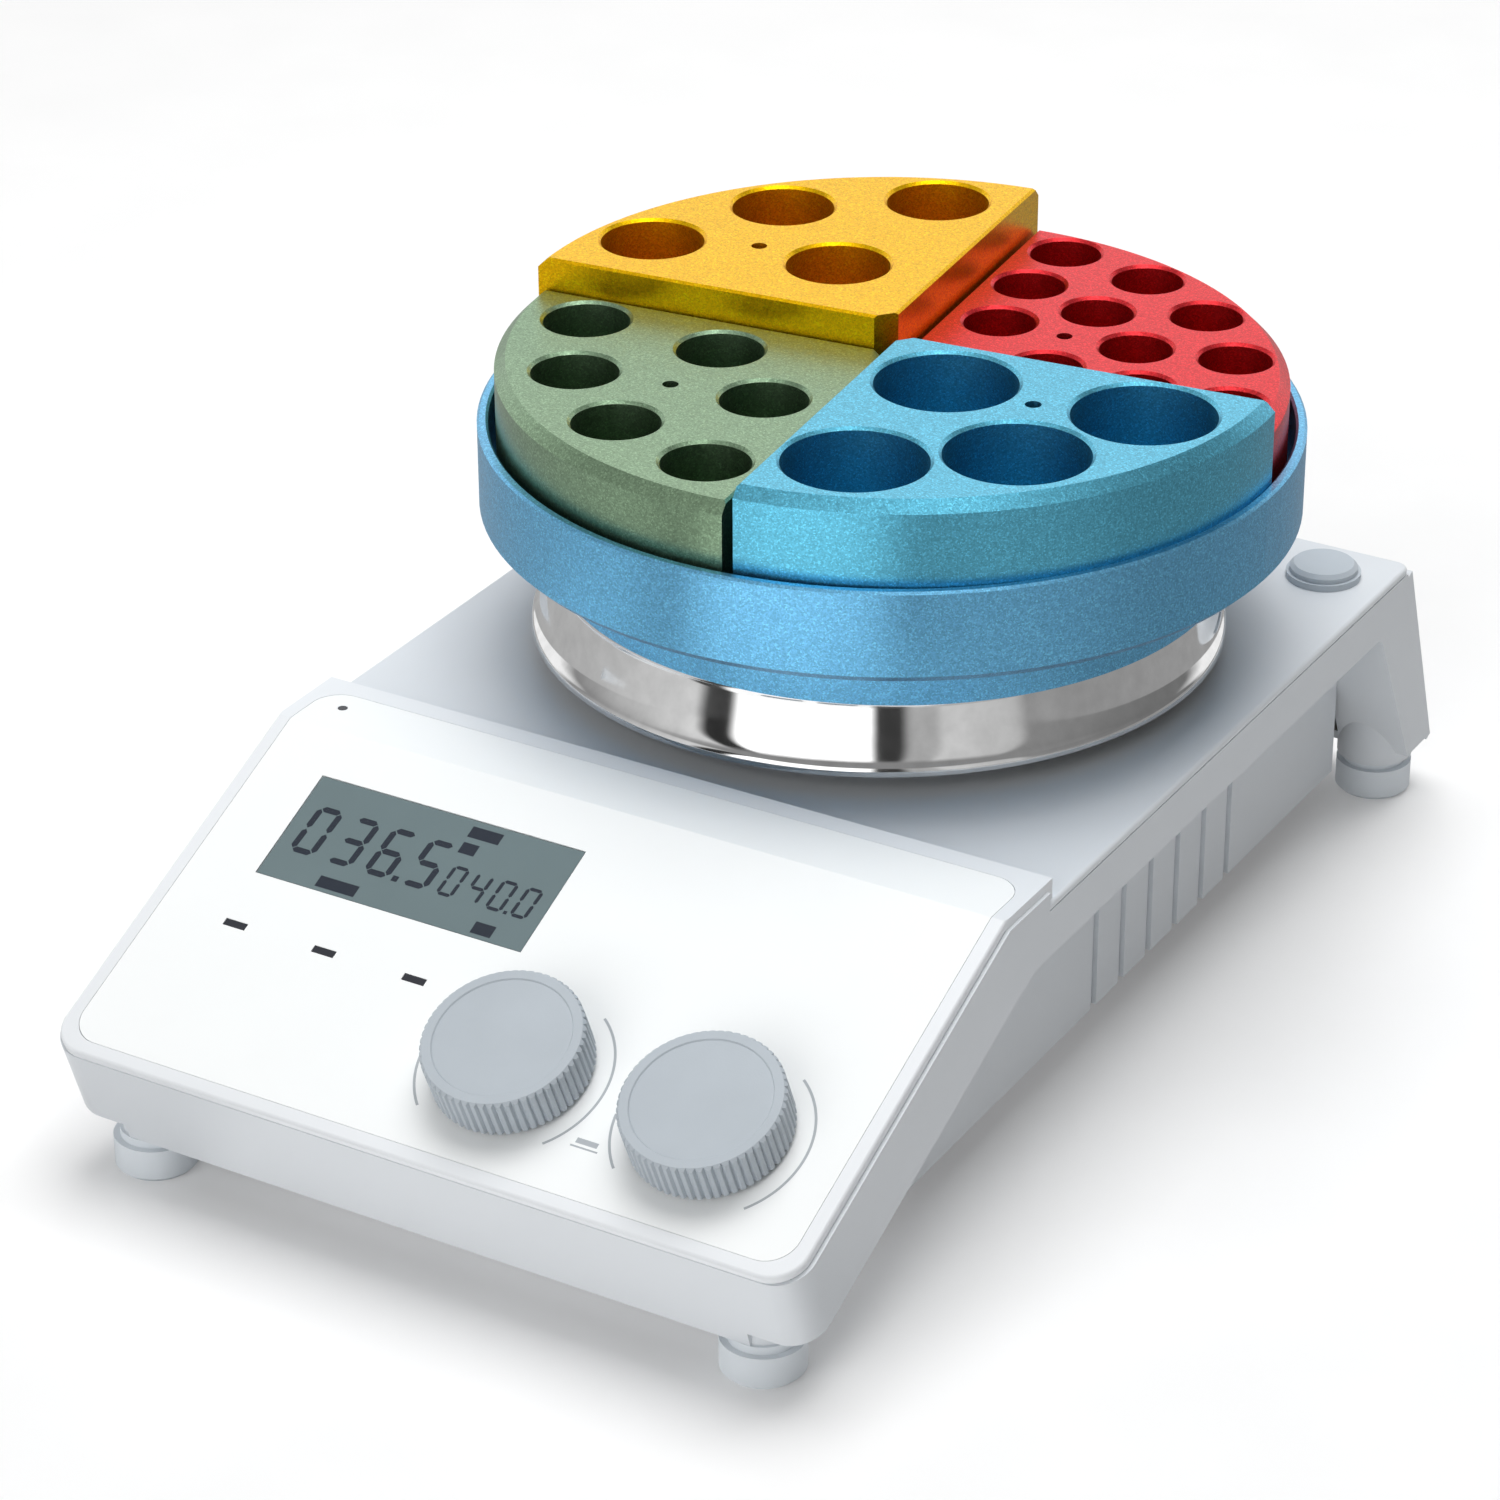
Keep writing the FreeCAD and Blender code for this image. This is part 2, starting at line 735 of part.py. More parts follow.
# Foot bosses at the front, round columns at the rear, and posts for the bottom plate
add_rods(housing, FRONT_FEET, "front_boss_radius", "housing_bottom", "front_boss_height")
add_rods(housing, REAR_FEET, "foot_radius", "housing_bottom", "(trough_floor - housing_bottom)")
post_sketch = new_sketch(housing, height="bottom_top")
for post_x, post_y in POSTS:
    rectangle(post_sketch, post_x, post_y, "post_size", "post_size")
pad(housing, post_sketch, "post_height")

# Rear face trimmed to the leaning panel
trim_sketch = new_sketch(housing, "YZ_Plane")
outline(trim_sketch, [
    (rear_inside_y("trim_low"), "trim_low"),
    ("(rear_y + foot_radius)", "trim_low"),
    ("(rear_y + foot_radius)", "open_top"),
    (rear_inside_y("open_top"), "open_top"),
])
pocket(housing, trim_sketch, "body_width", symmetric=True)

# Pilot holes, then the upright grooves on the sides of the tub
drill(housing, FRONT_FEET + REAR_FEET, "foot_screw_radius", "housing_bottom", "foot_screw_grip", up=True)
drill(housing, POSTS, "bottom_screw_radius", "bottom_top", "bottom_screw_grip", up=True)
pilot_sketch = new_sketch(housing, height="0")
pilot_sketch.AttachmentOffset = FreeCAD.Placement(
    FreeCAD.Vector(0, 0, 0), FreeCAD.Rotation(FreeCAD.Vector(1, 0, 0), value("rear_lean - 90")))
pilot_sketch.setExpression("AttachmentOffset.Base.y", bound(REAR[0][1]))
pilot_sketch.setExpression("AttachmentOffset.Base.z", bound(REAR[0][2]))
pilot_sketch.setExpression("AttachmentOffset.Rotation.Angle", bound(REAR[2]))
for screw_x, screw_down in REAR_SCREWS:
    circle(pilot_sketch, screw_x, screw_down, "rear_screw_radius")
pocket(housing, pilot_sketch, "(rear_thick + rear_screw_grip)")
groove_sketch = new_sketch(housing, height="housing_bottom")
for side in ("", "-"):
    rectangle(groove_sketch, f"{side}tub_half", "groove_first_y", "(2 * groove_depth)", "groove_width")
groove = pocket(housing, groove_sketch, "groove_height", up=True)
grooves = housing.newObject("PartDesign::LinearPattern", "housing_grooves")
grooves.Originals = [groove]
grooves.Direction = (origin_of(housing, "Y_Axis"), [""])
grooves.Mode = "Spacing"
grooves.setExpression("Offset", bound("groove_pitch"))
grooves.setExpression("Occurrences", bound("groove_count"))
housing.Tip = grooves
settle(housing, grooves)

# Bottom plate and its screws
bottom_length = "(tub_rear_y - wall - front_floor_y - 2 * bottom_gap)"
bottom_middle = "((tub_rear_y - wall + front_floor_y) / 2)"
bottom_width = "(2 * (tub_inside - bottom_gap))"
bottom = plain_box("bottom_plate", BASE, "0", bottom_middle, bottom_width, bottom_length,
                   "bottom_low", "bottom_thick")
drill(bottom, POSTS, "bottom_screw_radius", "bottom_top", "bottom_thick")
bottom_screws = new_piece("bottom_screws")
add_rods(bottom_screws, POSTS, "screw_head", "(bottom_low - screw_head_thick)", "screw_head_thick")
add_rods(bottom_screws, POSTS, "bottom_screw_radius", "bottom_low", "(bottom_thick + bottom_screw_grip)")

# Feet with a neck under the housing, and their screws
foot_places = {
    "front_right": FRONT_FEET[0],
    "front_left": FRONT_FEET[1],
    "rear_right": REAR_FEET[0],
    "rear_left": REAR_FEET[1],
}
screw_seat = "(foot_screw_sink + foot_screw_head_thick)"
for place_name, (foot_x, foot_y) in foot_places.items():
    foot = new_piece(f"foot_{place_name}", ((foot_x, foot_y, "0"), (0, 0, 1), "0"))
    turn(foot, [
        ("foot_screw_head", "0"),
        ("(foot_radius - foot_edge)", "0"),
        ("foot_radius", "foot_edge"),
        ("foot_radius", "(housing_bottom - foot_neck)"),
        ("foot_neck_radius", "(housing_bottom - foot_neck)"),
        ("foot_neck_radius", "housing_bottom"),
        ("foot_screw_radius", "housing_bottom"),
        ("foot_screw_radius", screw_seat),
        ("foot_screw_head", screw_seat),
    ])
foot_screws = new_piece("foot_screws")
add_rods(foot_screws, FRONT_FEET + REAR_FEET, "foot_screw_head", "foot_screw_sink", "foot_screw_head_thick")
add_rods(foot_screws, FRONT_FEET + REAR_FEET, "foot_screw_radius", screw_seat,
         f"(housing_bottom + foot_screw_grip - {screw_seat})")

# Top cover, with a window over the magnets and a hole for the support rod
cover = new_piece("top_cover")
cover_front = "(ridge_rear - frame_thick)"
cover_rear = rear_outside_y("cover_top")
cover_sketch = new_sketch(cover, height="seam")
rectangle(cover_sketch, "0", f"(({cover_front} + {cover_rear}) / 2)", "body_width",
          f"({cover_rear} - {cover_front})")
pad(cover, cover_sketch, "cover_thick")
round_edges(cover, lambda point: near(abs(point.x), "half_width") and near(point.y, cover_rear), "cover_corner")
round_edges(cover, lambda point: near(point.z, "cover_top") and not near(point.y, cover_front), "cover_edge")
bevel_edges(cover, lambda point: near(point.z, "seam") and not near(point.y, cover_front), "seam_chamfer")
drill(cover, [("0", "plate_y")], "cover_window", "cover_top", "cover_thick")
drill(cover, [("rod_x", "rod_y")], "(rod_radius + rod_cover_gap)", "cover_top", "cover_thick")

# Panel frame: one bent plate with a skirt that stands on the cover
frame = new_piece("panel_frame", PANEL)
skirt = "(ridge_height - cover_top)"
frame_sketch = new_sketch(frame, "YZ_Plane")
outline(frame_sketch, [
    ("-panel_length", "0"),
    ("-panel_length", "-frame_thick"),
    ("(-frame_thick * tan(panel_tilt / 2))", "-frame_thick"),
    ridge_point("(ridge_depth - frame_thick)", "-frame_thick"),
    ridge_point("(ridge_depth - frame_thick)", f"-{skirt}"),
    ridge_point("ridge_depth", f"-{skirt}"),
    ridge_point("ridge_depth", "0"),
    ("0", "0"),
])
pad(frame, frame_sketch, "frame_width", symmetric=True)
frame_half = "(frame_width / 2)"
round_edges(frame, lambda point: near(abs(point.x), frame_half) and near(point.y, "-panel_length"), "front_corner")
round_edges(
    frame,
    lambda point: near(point.z, "0") and point.y < 0.01
    and (near(point.y, "-panel_length") or abs(point.x) > value(frame_half) - value("front_corner") - 0.01),
    "frame_edge",
)
bevel_edges(
    frame,
    lambda point: near(point.z, "-frame_thick") and point.y < 0.01
    and (near(point.y, "-panel_length") or abs(point.x) > value(frame_half) - value("front_corner") - 0.01),
    "seam_chamfer",
)
sheet_low = "(overlay_thick * tan(panel_tilt / 2))"
seat_length = "(overlay_length + sheet_gap)"
seat_ridge = "(overlay_ridge + sheet_gap)"
seat_half = "(overlay_width / 2 + sheet_gap)"
seat_sketch = new_sketch(frame, "YZ_Plane")
outline(seat_sketch, [
    (f"-{seat_length}", "-overlay_thick"),
    (f"-{sheet_low}", "-overlay_thick"),
    ridge_point(seat_ridge, "-overlay_thick"),
    ridge_point(seat_ridge, "frame_thick"),
    ("0", "frame_thick"),
    (f"-{seat_length}", "frame_thick"),
])
pocket(frame, seat_sketch, f"(2 * {seat_half})", symmetric=True)


def sheet_corner(half, length, ridge):
    """Test for the four short corner edges of the bent sheet or of its seat."""
    ends = [(f"-{length}", "0"), (f"-{length}", "-overlay_thick"),
            ridge_point(ridge, "0"), ridge_point(ridge, "-overlay_thick")]
    spots = [(value(along), value(off)) for along, off in ends]
    low, high = spots[:2], spots[2:]

    def chosen(point):
        if not near(abs(point.x), half):
            return False
        for (along, off), (other_along, other_off) in (low, high):
            if min(along, other_along) - 0.01 < point.y < max(along, other_along) + 0.01:
                if min(off, other_off) - 0.01 < point.z < max(off, other_off) + 0.01:
                    return True
        return False
    return chosen


round_edges(frame, sheet_corner(seat_half, seat_length, seat_ridge), "overlay_corner")
board_posts = new_sketch(frame, height="-frame_thick")
for post_x, post_y in BOARD_POSTS:
    circle(board_posts, post_x, post_y, "board_post_radius")
pad(frame, board_posts, "(board_depth - frame_thick)", down=True)
drill(frame, BOARD_POSTS, "board_screw_radius", "-board_depth", "board_screw_grip", up=True)


def open_panel(body, room):
    """Openings for the window, the lamps and the two encoder bushes."""
    sketch = new_sketch(body, height="frame_thick")
    rectangle(sketch, "display_x", "-display_down", f"(display_width + 2 * {room})",
              f"(display_height + 2 * {room})")
    for lamp_x in LAMPS:
        rectangle(sketch, lamp_x, "-lamp_down", f"(lamp_width + 2 * {room})", f"(lamp_height + 2 * {room})")
    for knob_x in KNOBS.values():
        circle(sketch, knob_x, "-knob_down", f"(bush_radius + {room})")
    pocket(body, sketch, "(3 * frame_thick)")


RIDGE = (("0", "bend_y", "ridge_height"), (0, 0, 1), "0")


def open_power_lamp(body):
    """Upright hole for the small lamp on the flat ridge."""
    sketch = new_sketch(body)
    sketch.AttachmentOffset = FreeCAD.Placement(
        FreeCAD.Vector(0, 0, 0), FreeCAD.Rotation(FreeCAD.Vector(1, 0, 0), -value("panel_tilt")))
    sketch.setExpression("AttachmentOffset.Rotation.Angle", bound("-panel_tilt"))
    circle(sketch, "power_lamp_x", "power_lamp_back", "(power_lamp_radius + sheet_gap)")
    pocket(body, sketch, "(2 * frame_thick)")


open_panel(frame, "sheet_gap")
open_power_lamp(frame)

# White sheet over the panel, bent over the ridge
overlay = new_piece("panel_overlay", PANEL)
overlay_sketch = new_sketch(overlay, "YZ_Plane")
outline(overlay_sketch, [
    ("-overlay_length", "-overlay_thick"),
    (f"-{sheet_low}", "-overlay_thick"),
    ridge_point("overlay_ridge", "-overlay_thick"),
    ridge_point("overlay_ridge", "0"),
    ("0", "0"),
    ("-overlay_length", "0"),
])
pad(overlay, overlay_sketch, "overlay_width", symmetric=True)
round_edges(overlay, sheet_corner("(overlay_width / 2)", "overlay_length", "overlay_ridge"), "overlay_corner")
open_panel(overlay, "sheet_gap")
open_power_lamp(overlay)

# Display window with a flange under the frame, and the display behind it
window = new_piece("display_window", PANEL)
window_sketch = new_sketch(window, height="-frame_thick")
rectangle(window_sketch, "display_x", "-display_down", "display_width", "display_height")
pad(window, window_sketch, "frame_thick")
flange_sketch = new_sketch(window, height="(-frame_thick - window_thick)")
rectangle(flange_sketch, "display_x", "-display_down", "(display_width + 2 * window_flange)",
          "(display_height + 2 * window_flange)")
pad(window, flange_sketch, "window_thick")
lcd_depth = "(board_depth - frame_thick - window_thick)"
plain_box("display_module", PANEL, "display_x", "-display_down", "(display_width + 2 * lcd_border)",
          "(display_height + 2 * lcd_border)", "-board_depth", lcd_depth)

# Lamp lenses: light pipes from the board to the sheet, and a small one on the ridge
for lamp_name, lamp_x in zip(("left", "middle", "right"), LAMPS):
    plain_box(f"indicator_lens_{lamp_name}", PANEL, lamp_x, "-lamp_down", "lamp_width", "lamp_height",
              "-board_depth", "board_depth")
power_lens = new_piece("power_lens", RIDGE)
power_spot = [("power_lamp_x", "power_lamp_back")]
add_rods(power_lens, power_spot, "power_lamp_radius", "-frame_thick", "frame_thick")
add_rods(power_lens, power_spot, "(power_lamp_radius + lamp_flange)", "(-frame_thick - lamp_flange)",
         "lamp_flange")

# Control board on the frame's posts, and its screws
board_middle = "(-(board_top_down + board_bottom_down) / 2)"
board = plain_box("control_board", PANEL, "0", board_middle, "board_width",
                  "(board_bottom_down - board_top_down)", "(-board_depth - board_thick)", "board_thick")
drill(board, BOARD_POSTS, "board_screw_radius", "-board_depth", "board_thick")
board_screws = new_piece("board_screws", PANEL)
board_low = "(-board_depth - board_thick)"
add_rods(board_screws, BOARD_POSTS, "screw_head", f"({board_low} - screw_head_thick)", "screw_head_thick")
add_rods(board_screws, BOARD_POSTS, "board_screw_radius", board_low, "(board_thick + board_screw_grip)")

# Encoders with a bush through the panel; each shaft stands on a plunger and carries a knob
plunger_top = "(-board_depth + press_room + plunger_thick + plunger_room)"
for knob_name, knob_x in KNOBS.items():
    axis_place = [(knob_x, "-knob_down")]
    encoder = plain_box(f"{knob_name}_encoder", PANEL, knob_x, "-knob_down", "encoder_size", "encoder_size",
                        "-board_depth", "(board_depth - frame_thick)")
    add_rods(encoder, axis_place, "bush_radius", "-frame_thick", "(frame_thick + bush_rise)")
    drill(encoder, axis_place, "(plunger_radius + plunger_room)", "-board_depth", "plunger_depth", up=True)
    drill(encoder, axis_place, "(shaft_radius + shaft_gap)", "bush_rise", "(board_depth + bush_rise)")
    plunger = new_piece(f"{knob_name}_switch_plunger", PANEL)
    add_rods(plunger, axis_place, "plunger_radius", f"({plunger_top} - plunger_thick)", "plunger_thick")
    shaft = new_piece(f"{knob_name}_knob_shaft", PANEL)
    add_rods(shaft, axis_place, "shaft_radius", plunger_top, f"(shaft_rise - {plunger_top})")

    knob_axis = ((knob_x, "(bend_y - knob_down * cos(panel_tilt))",
                  "(ridge_height - knob_down * sin(panel_tilt))"), (1, 0, 0), "panel_tilt")
    knob = new_piece(f"{knob_name}_knob", knob_axis)
    knob_top = "(knob_lift + knob_height)"
    knob_roof = f"({knob_top} - knob_skin)"
    turn(knob, [
        ("shaft_radius", "knob_hub_lift"),
        ("knob_hub_radius", "knob_hub_lift"),
        ("knob_hub_radius", knob_roof),
        ("(knob_radius - knob_skin)", knob_roof),
        ("(knob_radius - knob_skin)", "knob_lift"),
        ("knob_radius", "knob_lift"),
        ("knob_radius", f"({knob_top} - rib_depth)"),
        ("(knob_radius - rib_depth)", knob_top),
        ("(knob_radius - knob_rim)", knob_top),
        ("(knob_radius - knob_rim - knob_dish)", f"({knob_top} - knob_dish)"),
        ("0", f"({knob_top} - knob_dish)"),
        ("0", "shaft_rise"),
        ("shaft_radius", "shaft_rise"),
    ])
    rib_sketch = new_sketch(knob, height="knob_lift")
    outline(rib_sketch, [
        ("(knob_radius - rib_depth)", "0"),
        ("(knob_radius + rib_depth)", "(-rib_width)"),
        ("(knob_radius + rib_depth)", "rib_width"),
    ])
    rib = pocket(knob, rib_sketch, "knob_height", up=True)
    ribs = knob.newObject("PartDesign::PolarPattern", f"{knob_name}_ribs")
    ribs.Originals = [rib]
    ribs.Axis = (origin_of(knob, "Z_Axis"), [""])
    ribs.Angle = 360
    ribs.setExpression("Occurrences", bound("rib_count"))
    knob.Tip = ribs
    settle(knob, ribs)

# Rear panel on the leaning rear face
rear = plain_box("rear_panel", REAR, "0", "(rear_length / 2)", "body_width", "rear_length",
                 "-rear_thick", "rear_thick")
rear_openings = new_sketch(rear)
rectangle(rear_openings, "inlet_x", "inlet_down", "inlet_width", "inlet_height")
rectangle(rear_openings, "switch_x", "switch_down", "switch_width", "switch_height")
rectangle(rear_openings, "data_x", "data_down", "data_shell_width", "data_shell_height")
circle(rear_openings, "probe_x", "probe_down", "probe_body_radius")
for screw_x, screw_down in REAR_SCREWS:
    circle(rear_openings, screw_x, screw_down, "rear_screw_radius")
pocket(rear, rear_openings, "rear_thick")
rear_screws = new_piece("rear_screws", REAR)
add_rods(rear_screws, REAR_SCREWS, "screw_head", "0", "screw_head_thick")
add_rods(rear_screws, REAR_SCREWS, "rear_screw_radius", "(-rear_thick - rear_screw_grip)",
         "(rear_thick + rear_screw_grip)")

# Power inlet with three pins, and the fuse drawer in the same body
inlet = plain_box("power_inlet", REAR, "inlet_x", "inlet_down", "inlet_width", "inlet_height",
                  "-inlet_depth", "inlet_depth")
inlet_rim = new_sketch(inlet)
rectangle(inlet_rim, "inlet_x", "inlet_down", "(inlet_width + 2 * inlet_rim)", "(inlet_height + 2 * inlet_rim)")
pad(inlet, inlet_rim, "inlet_flange")
mouth_down = "(inlet_down + inlet_mouth_down)"
fuse_down = "(inlet_down + fuse_down)"
mouth_sketch = new_sketch(inlet, height="inlet_flange")
rectangle(mouth_sketch, "inlet_x", mouth_down, "inlet_mouth_width", "inlet_mouth_height")
pocket(inlet, mouth_sketch, "inlet_mouth_depth")
pin_sketch = new_sketch(inlet, height="(inlet_flange - inlet_mouth_depth)")
for step, lift in ((-1, 0.5), (0, -0.5), (1, 0.5)):
    rectangle(pin_sketch, f"(inlet_x + {step} * pin_pitch)", f"({mouth_down} + {lift} * pin_height)",
              "pin_width", "pin_height")
pad(inlet, pin_sketch, "pin_length")
fuse_slot = new_sketch(inlet, height="inlet_flange")
rectangle(fuse_slot, "inlet_x", fuse_down, "(fuse_width + 2 * slide_gap)", "(fuse_height + 2 * slide_gap)")
pocket(inlet, fuse_slot, "(inlet_flange + fuse_depth)")
fuse = plain_box("fuse_drawer", REAR, "inlet_x", fuse_down, "fuse_width", "fuse_height",
                 "-fuse_depth", "(fuse_depth + inlet_flange + fuse_front)")

# Power switch: a frame with a trough, and a rocker on a cross pin
switch = plain_box("power_switch_frame", REAR, "switch_x", "switch_down", "switch_width", "switch_height",
                   "-switch_depth", "switch_depth")
switch_rim = new_sketch(switch)
rectangle(switch_rim, "switch_x", "switch_down", "(switch_width + 2 * switch_rim)",
          "(switch_height + 2 * switch_rim)")
pad(switch, switch_rim, "switch_flange")
rocker_room_width = "(switch_width - 2 * switch_wall)"
rocker_room_height = "(switch_height - 2 * switch_wall)"
room_sketch = new_sketch(switch, height="switch_flange")
rectangle(room_sketch, "switch_x", "switch_down", rocker_room_width, rocker_room_height)
pocket(switch, room_sketch, "(switch_flange + switch_depth - switch_wall)")
pin_bore = new_sketch(switch, "YZ_Plane", "switch_x")
circle(pin_bore, "switch_down", "-rocker_pin_depth", "(rocker_pin_radius + shaft_gap)")
pocket(switch, pin_bore, "switch_width", symmetric=True)
rocker = new_piece("power_switch_rocker", REAR)
rocker_sketch = new_sketch(rocker, "YZ_Plane", "switch_x")
rocker_half = f"({rocker_room_height} / 2 - rocker_end_gap)"
outline(rocker_sketch, [
    (f"(switch_down - {rocker_half})", "(switch_flange + rocker_rise)"),
    ("switch_down", "(switch_flange - rocker_dip)"),
    (f"(switch_down + {rocker_half})", "(switch_flange - rocker_dip)"),
    (f"(switch_down + {rocker_half} - slide_gap)", "-rocker_pin_depth"),
    (f"(switch_down + {rocker_half} / 2)", "-rocker_depth"),
    (f"(switch_down - {rocker_half} / 2)", "-rocker_depth"),
    (f"(switch_down - {rocker_half} + slide_gap)", "-rocker_pin_depth"),
])
pad(rocker, rocker_sketch, f"({rocker_room_width} - 2 * slide_gap)", symmetric=True)
rocker_pin = new_sketch(rocker, "YZ_Plane", "switch_x")
circle(rocker_pin, "switch_down", "-rocker_pin_depth", "rocker_pin_radius")
pad(rocker, rocker_pin, "(switch_width - switch_wall)", symmetric=True)

# Data socket and probe socket
data = plain_box("data_socket", REAR, "data_x", "data_down", "data_shell_width", "data_shell_height",
                 "-data_depth", "(data_depth + data_plate + data_shell_rise)")
data_plate = new_sketch(data)
rectangle(data_plate, "data_x", "data_down", "data_width", "data_height")
pad(data, data_plate, "data_plate")
probe_axis = (("probe_x", f"({REAR[0][1]} + probe_down * sin(rear_lean))",
               "(rear_top - probe_down * cos(rear_lean))"), (1, 0, 0), "rear_lean - 90")
probe = new_piece("probe_socket", probe_axis)
turn(probe, [
    ("0", "-probe_depth"),
    ("probe_body_radius", "-probe_depth"),
    ("probe_body_radius", "0"),
    ("probe_flange_radius", "0"),
    ("probe_flange_radius", "probe_flange"),
    ("probe_bore_radius", "probe_flange"),
    ("probe_bore_radius", "(probe_flange - probe_bore_depth)"),
    ("0", "(probe_flange - probe_bore_depth)"),
])

# Hot plate: polished shell with a flared skirt, core, heater, insulation and pillars
shell = new_piece("hot_plate_shell", PLATE)
skirt_inside = "(plate_neck_radius - plate_skin)"
turn(shell, [
    ("0", "plate_top"),
    ("plate_neck_radius", "plate_top"),
    ("plate_neck_radius", "(plate_low + plate_flare_height)"),
    ("plate_radius", "(plate_low + plate_lip)"),
    ("plate_radius", "plate_low"),
    ("(plate_radius - plate_skin)", "plate_low"),
    (skirt_inside, "(plate_low + plate_flare_height)"),
    (skirt_inside, "core_top"),
    ("0", "core_top"),
])
round_edges(shell, lambda point: near(point.z, "plate_top"), "plate_edge")
round_edges(
    shell,
    lambda point: near(point.z, "(plate_low + plate_flare_height)")
    and abs((point.x ** 2 + point.y ** 2) ** 0.5 - value("plate_neck_radius")) < 0.01,
    "plate_cove",
)
core = new_piece("plate_core", PLATE)
add_rods(core, [("0", "0")], f"({skirt_inside} - core_gap)", "core_low", "core_thick")
heater = new_piece("heating_element", PLATE)
add_rods(heater, [("0", "0")], "heater_radius", "heater_low", "heater_thick")
drill(heater, [("0", "0")], "heater_bore", "core_low", "heater_thick")
insulation = new_piece("insulation_ring", PLATE)
add_rods(insulation, [("0", "0")], "insulation_radius", "shield_top", "(heater_low - shield_top)")
drill(insulation, [("0", "0")], "insulation_bore", "heater_low", "(heater_low - shield_top)")
shield = new_piece("heat_shield", PLATE)
add_rods(shield, [("0", "0")], "shield_radius", "cover_top", "shield_thick")
pillar_reach = "(pillar_circle * sqrt(0.5))"
pillars = new_piece("plate_pillars", PLATE)
add_rods(pillars, both_sides(pillar_reach, pillar_reach, f"-{pillar_reach}"), "pillar_radius", "shield_top",
         "(core_low - shield_top)")
sensor = new_piece("plate_sensor", PLATE)
add_rods(sensor, [("sensor_x", "0")], "sensor_radius", "(core_low - sensor_length)", "sensor_length")
plain_box("thermal_cutout", PLATE, "cutout_x", "0", "cutout_size", "cutout_size",
          "(core_low - cutout_height)", "cutout_height")

# Stirring drive: a bracket on legs, the motor under it, and a rotor with two magnets
bracket = plain_box("motor_bracket", PLATE, "0", "0", "bracket_width", "bracket_length",
                    "bracket_low", "bracket_thick")
leg_x = "((bracket_width - bracket_leg) / 2)"
leg_y = "((bracket_length - bracket_leg) / 2)"
leg_sketch = new_sketch(bracket, height="bottom_top")
for leg_place_x, leg_place_y in both_sides(leg_x, leg_y, f"-{leg_y}"):
    rectangle(leg_sketch, leg_place_x, leg_place_y, "bracket_leg", "bracket_leg")
pad(bracket, leg_sketch, "(bracket_low - bottom_top)")
drill(bracket, [("0", "0")], "(motor_boss_radius + motor_boss_gap)", "bracket_top", "bracket_thick")
motor = new_piece("stirring_motor", PLATE)
turn(motor, [
    ("0", "(bracket_low - motor_length)"),
    ("motor_radius", "(bracket_low - motor_length)"),
    ("motor_radius", "bracket_low"),
    ("motor_boss_radius", "bracket_low"),
    ("motor_boss_radius", "bracket_top"),
    ("(spindle_radius + shaft_gap)", "bracket_top"),
    ("(spindle_radius + shaft_gap)", "spindle_low"),
    ("0", "spindle_low"),
])
spindle = new_piece("motor_spindle", PLATE)
add_rods(spindle, [("0", "0")], "spindle_radius", "spindle_low", "(rotor_top - spindle_low)")
rotor = new_piece("magnet_rotor", PLATE)
turn(rotor, [
    ("spindle_radius", "(rotor_low - rotor_hub_drop)"),
    ("rotor_hub_radius", "(rotor_low - rotor_hub_drop)"),
    ("rotor_hub_radius", "rotor_low"),
    ("rotor_radius", "rotor_low"),
    ("rotor_radius", "rotor_top"),
    ("spindle_radius", "rotor_top"),
])
magnets = new_piece("drive_magnets", PLATE)
magnet_sketch = new_sketch(magnets, height="rotor_top")
for magnet_place in ("magnet_x", "-magnet_x"):
    rectangle(magnet_sketch, magnet_place, "0", "magnet_width", "magnet_length")
pad(magnets, magnet_sketch, "magnet_thick")

# Power board on four posts, with a coil, a capacitor and a cooling fin
POWER = (("0", "power_board_y", "(bottom_top + power_board_lift)"), (0, 0, 1), "0")
power = plain_box("power_board", POWER, "0", "0", "power_board_width", "power_board_length", "0", "board_thick")
power_x = "(power_board_width / 2 - power_post_radius)"
power_y = "(power_board_length / 2 - power_post_radius)"
add_rods(power, both_sides(power_x, power_y, f"-{power_y}"), "power_post_radius", "-power_board_lift",
         "power_board_lift")
coil_sketch = new_sketch(power, height="board_thick")
rectangle(coil_sketch, "coil_x", "0", "coil_width", "coil_length")
rectangle(coil_sketch, "fin_x", "0", "fin_width", "coil_length")
pad(power, coil_sketch, "coil_height")
add_rods(power, [("can_x", "0")], "can_radius", "board_thick", "can_height")

# Support rod socket in the band's hollow, and the plug that closes it
ROD = (("rod_x", "rod_y", "0"), (0, 0, 1), "0")
socket = new_piece("rod_socket", ROD)
turn(socket, [
    ("rod_radius", "trough_floor"),
    ("rod_socket_radius", "trough_floor"),
    ("rod_socket_radius", "seam"),
    ("rod_radius", "seam"),
])
plug = new_piece("rod_plug", ROD)
plug_top = "(cover_top + plug_head)"
turn(plug, [
    ("0", "(cover_top - plug_stem)"),
    ("(rod_radius - plug_stem_gap)", "(cover_top - plug_stem)"),
    ("(rod_radius - plug_stem_gap)", "cover_top"),
    ("plug_collar_radius", "cover_top"),
    ("plug_collar_radius", "(cover_top + plug_collar)"),
    ("plug_radius", "(cover_top + plug_collar)"),
    ("plug_radius", f"({plug_top} - plug_edge)"),
    ("(plug_radius - plug_edge)", plug_top),
    ("0", plug_top),
])

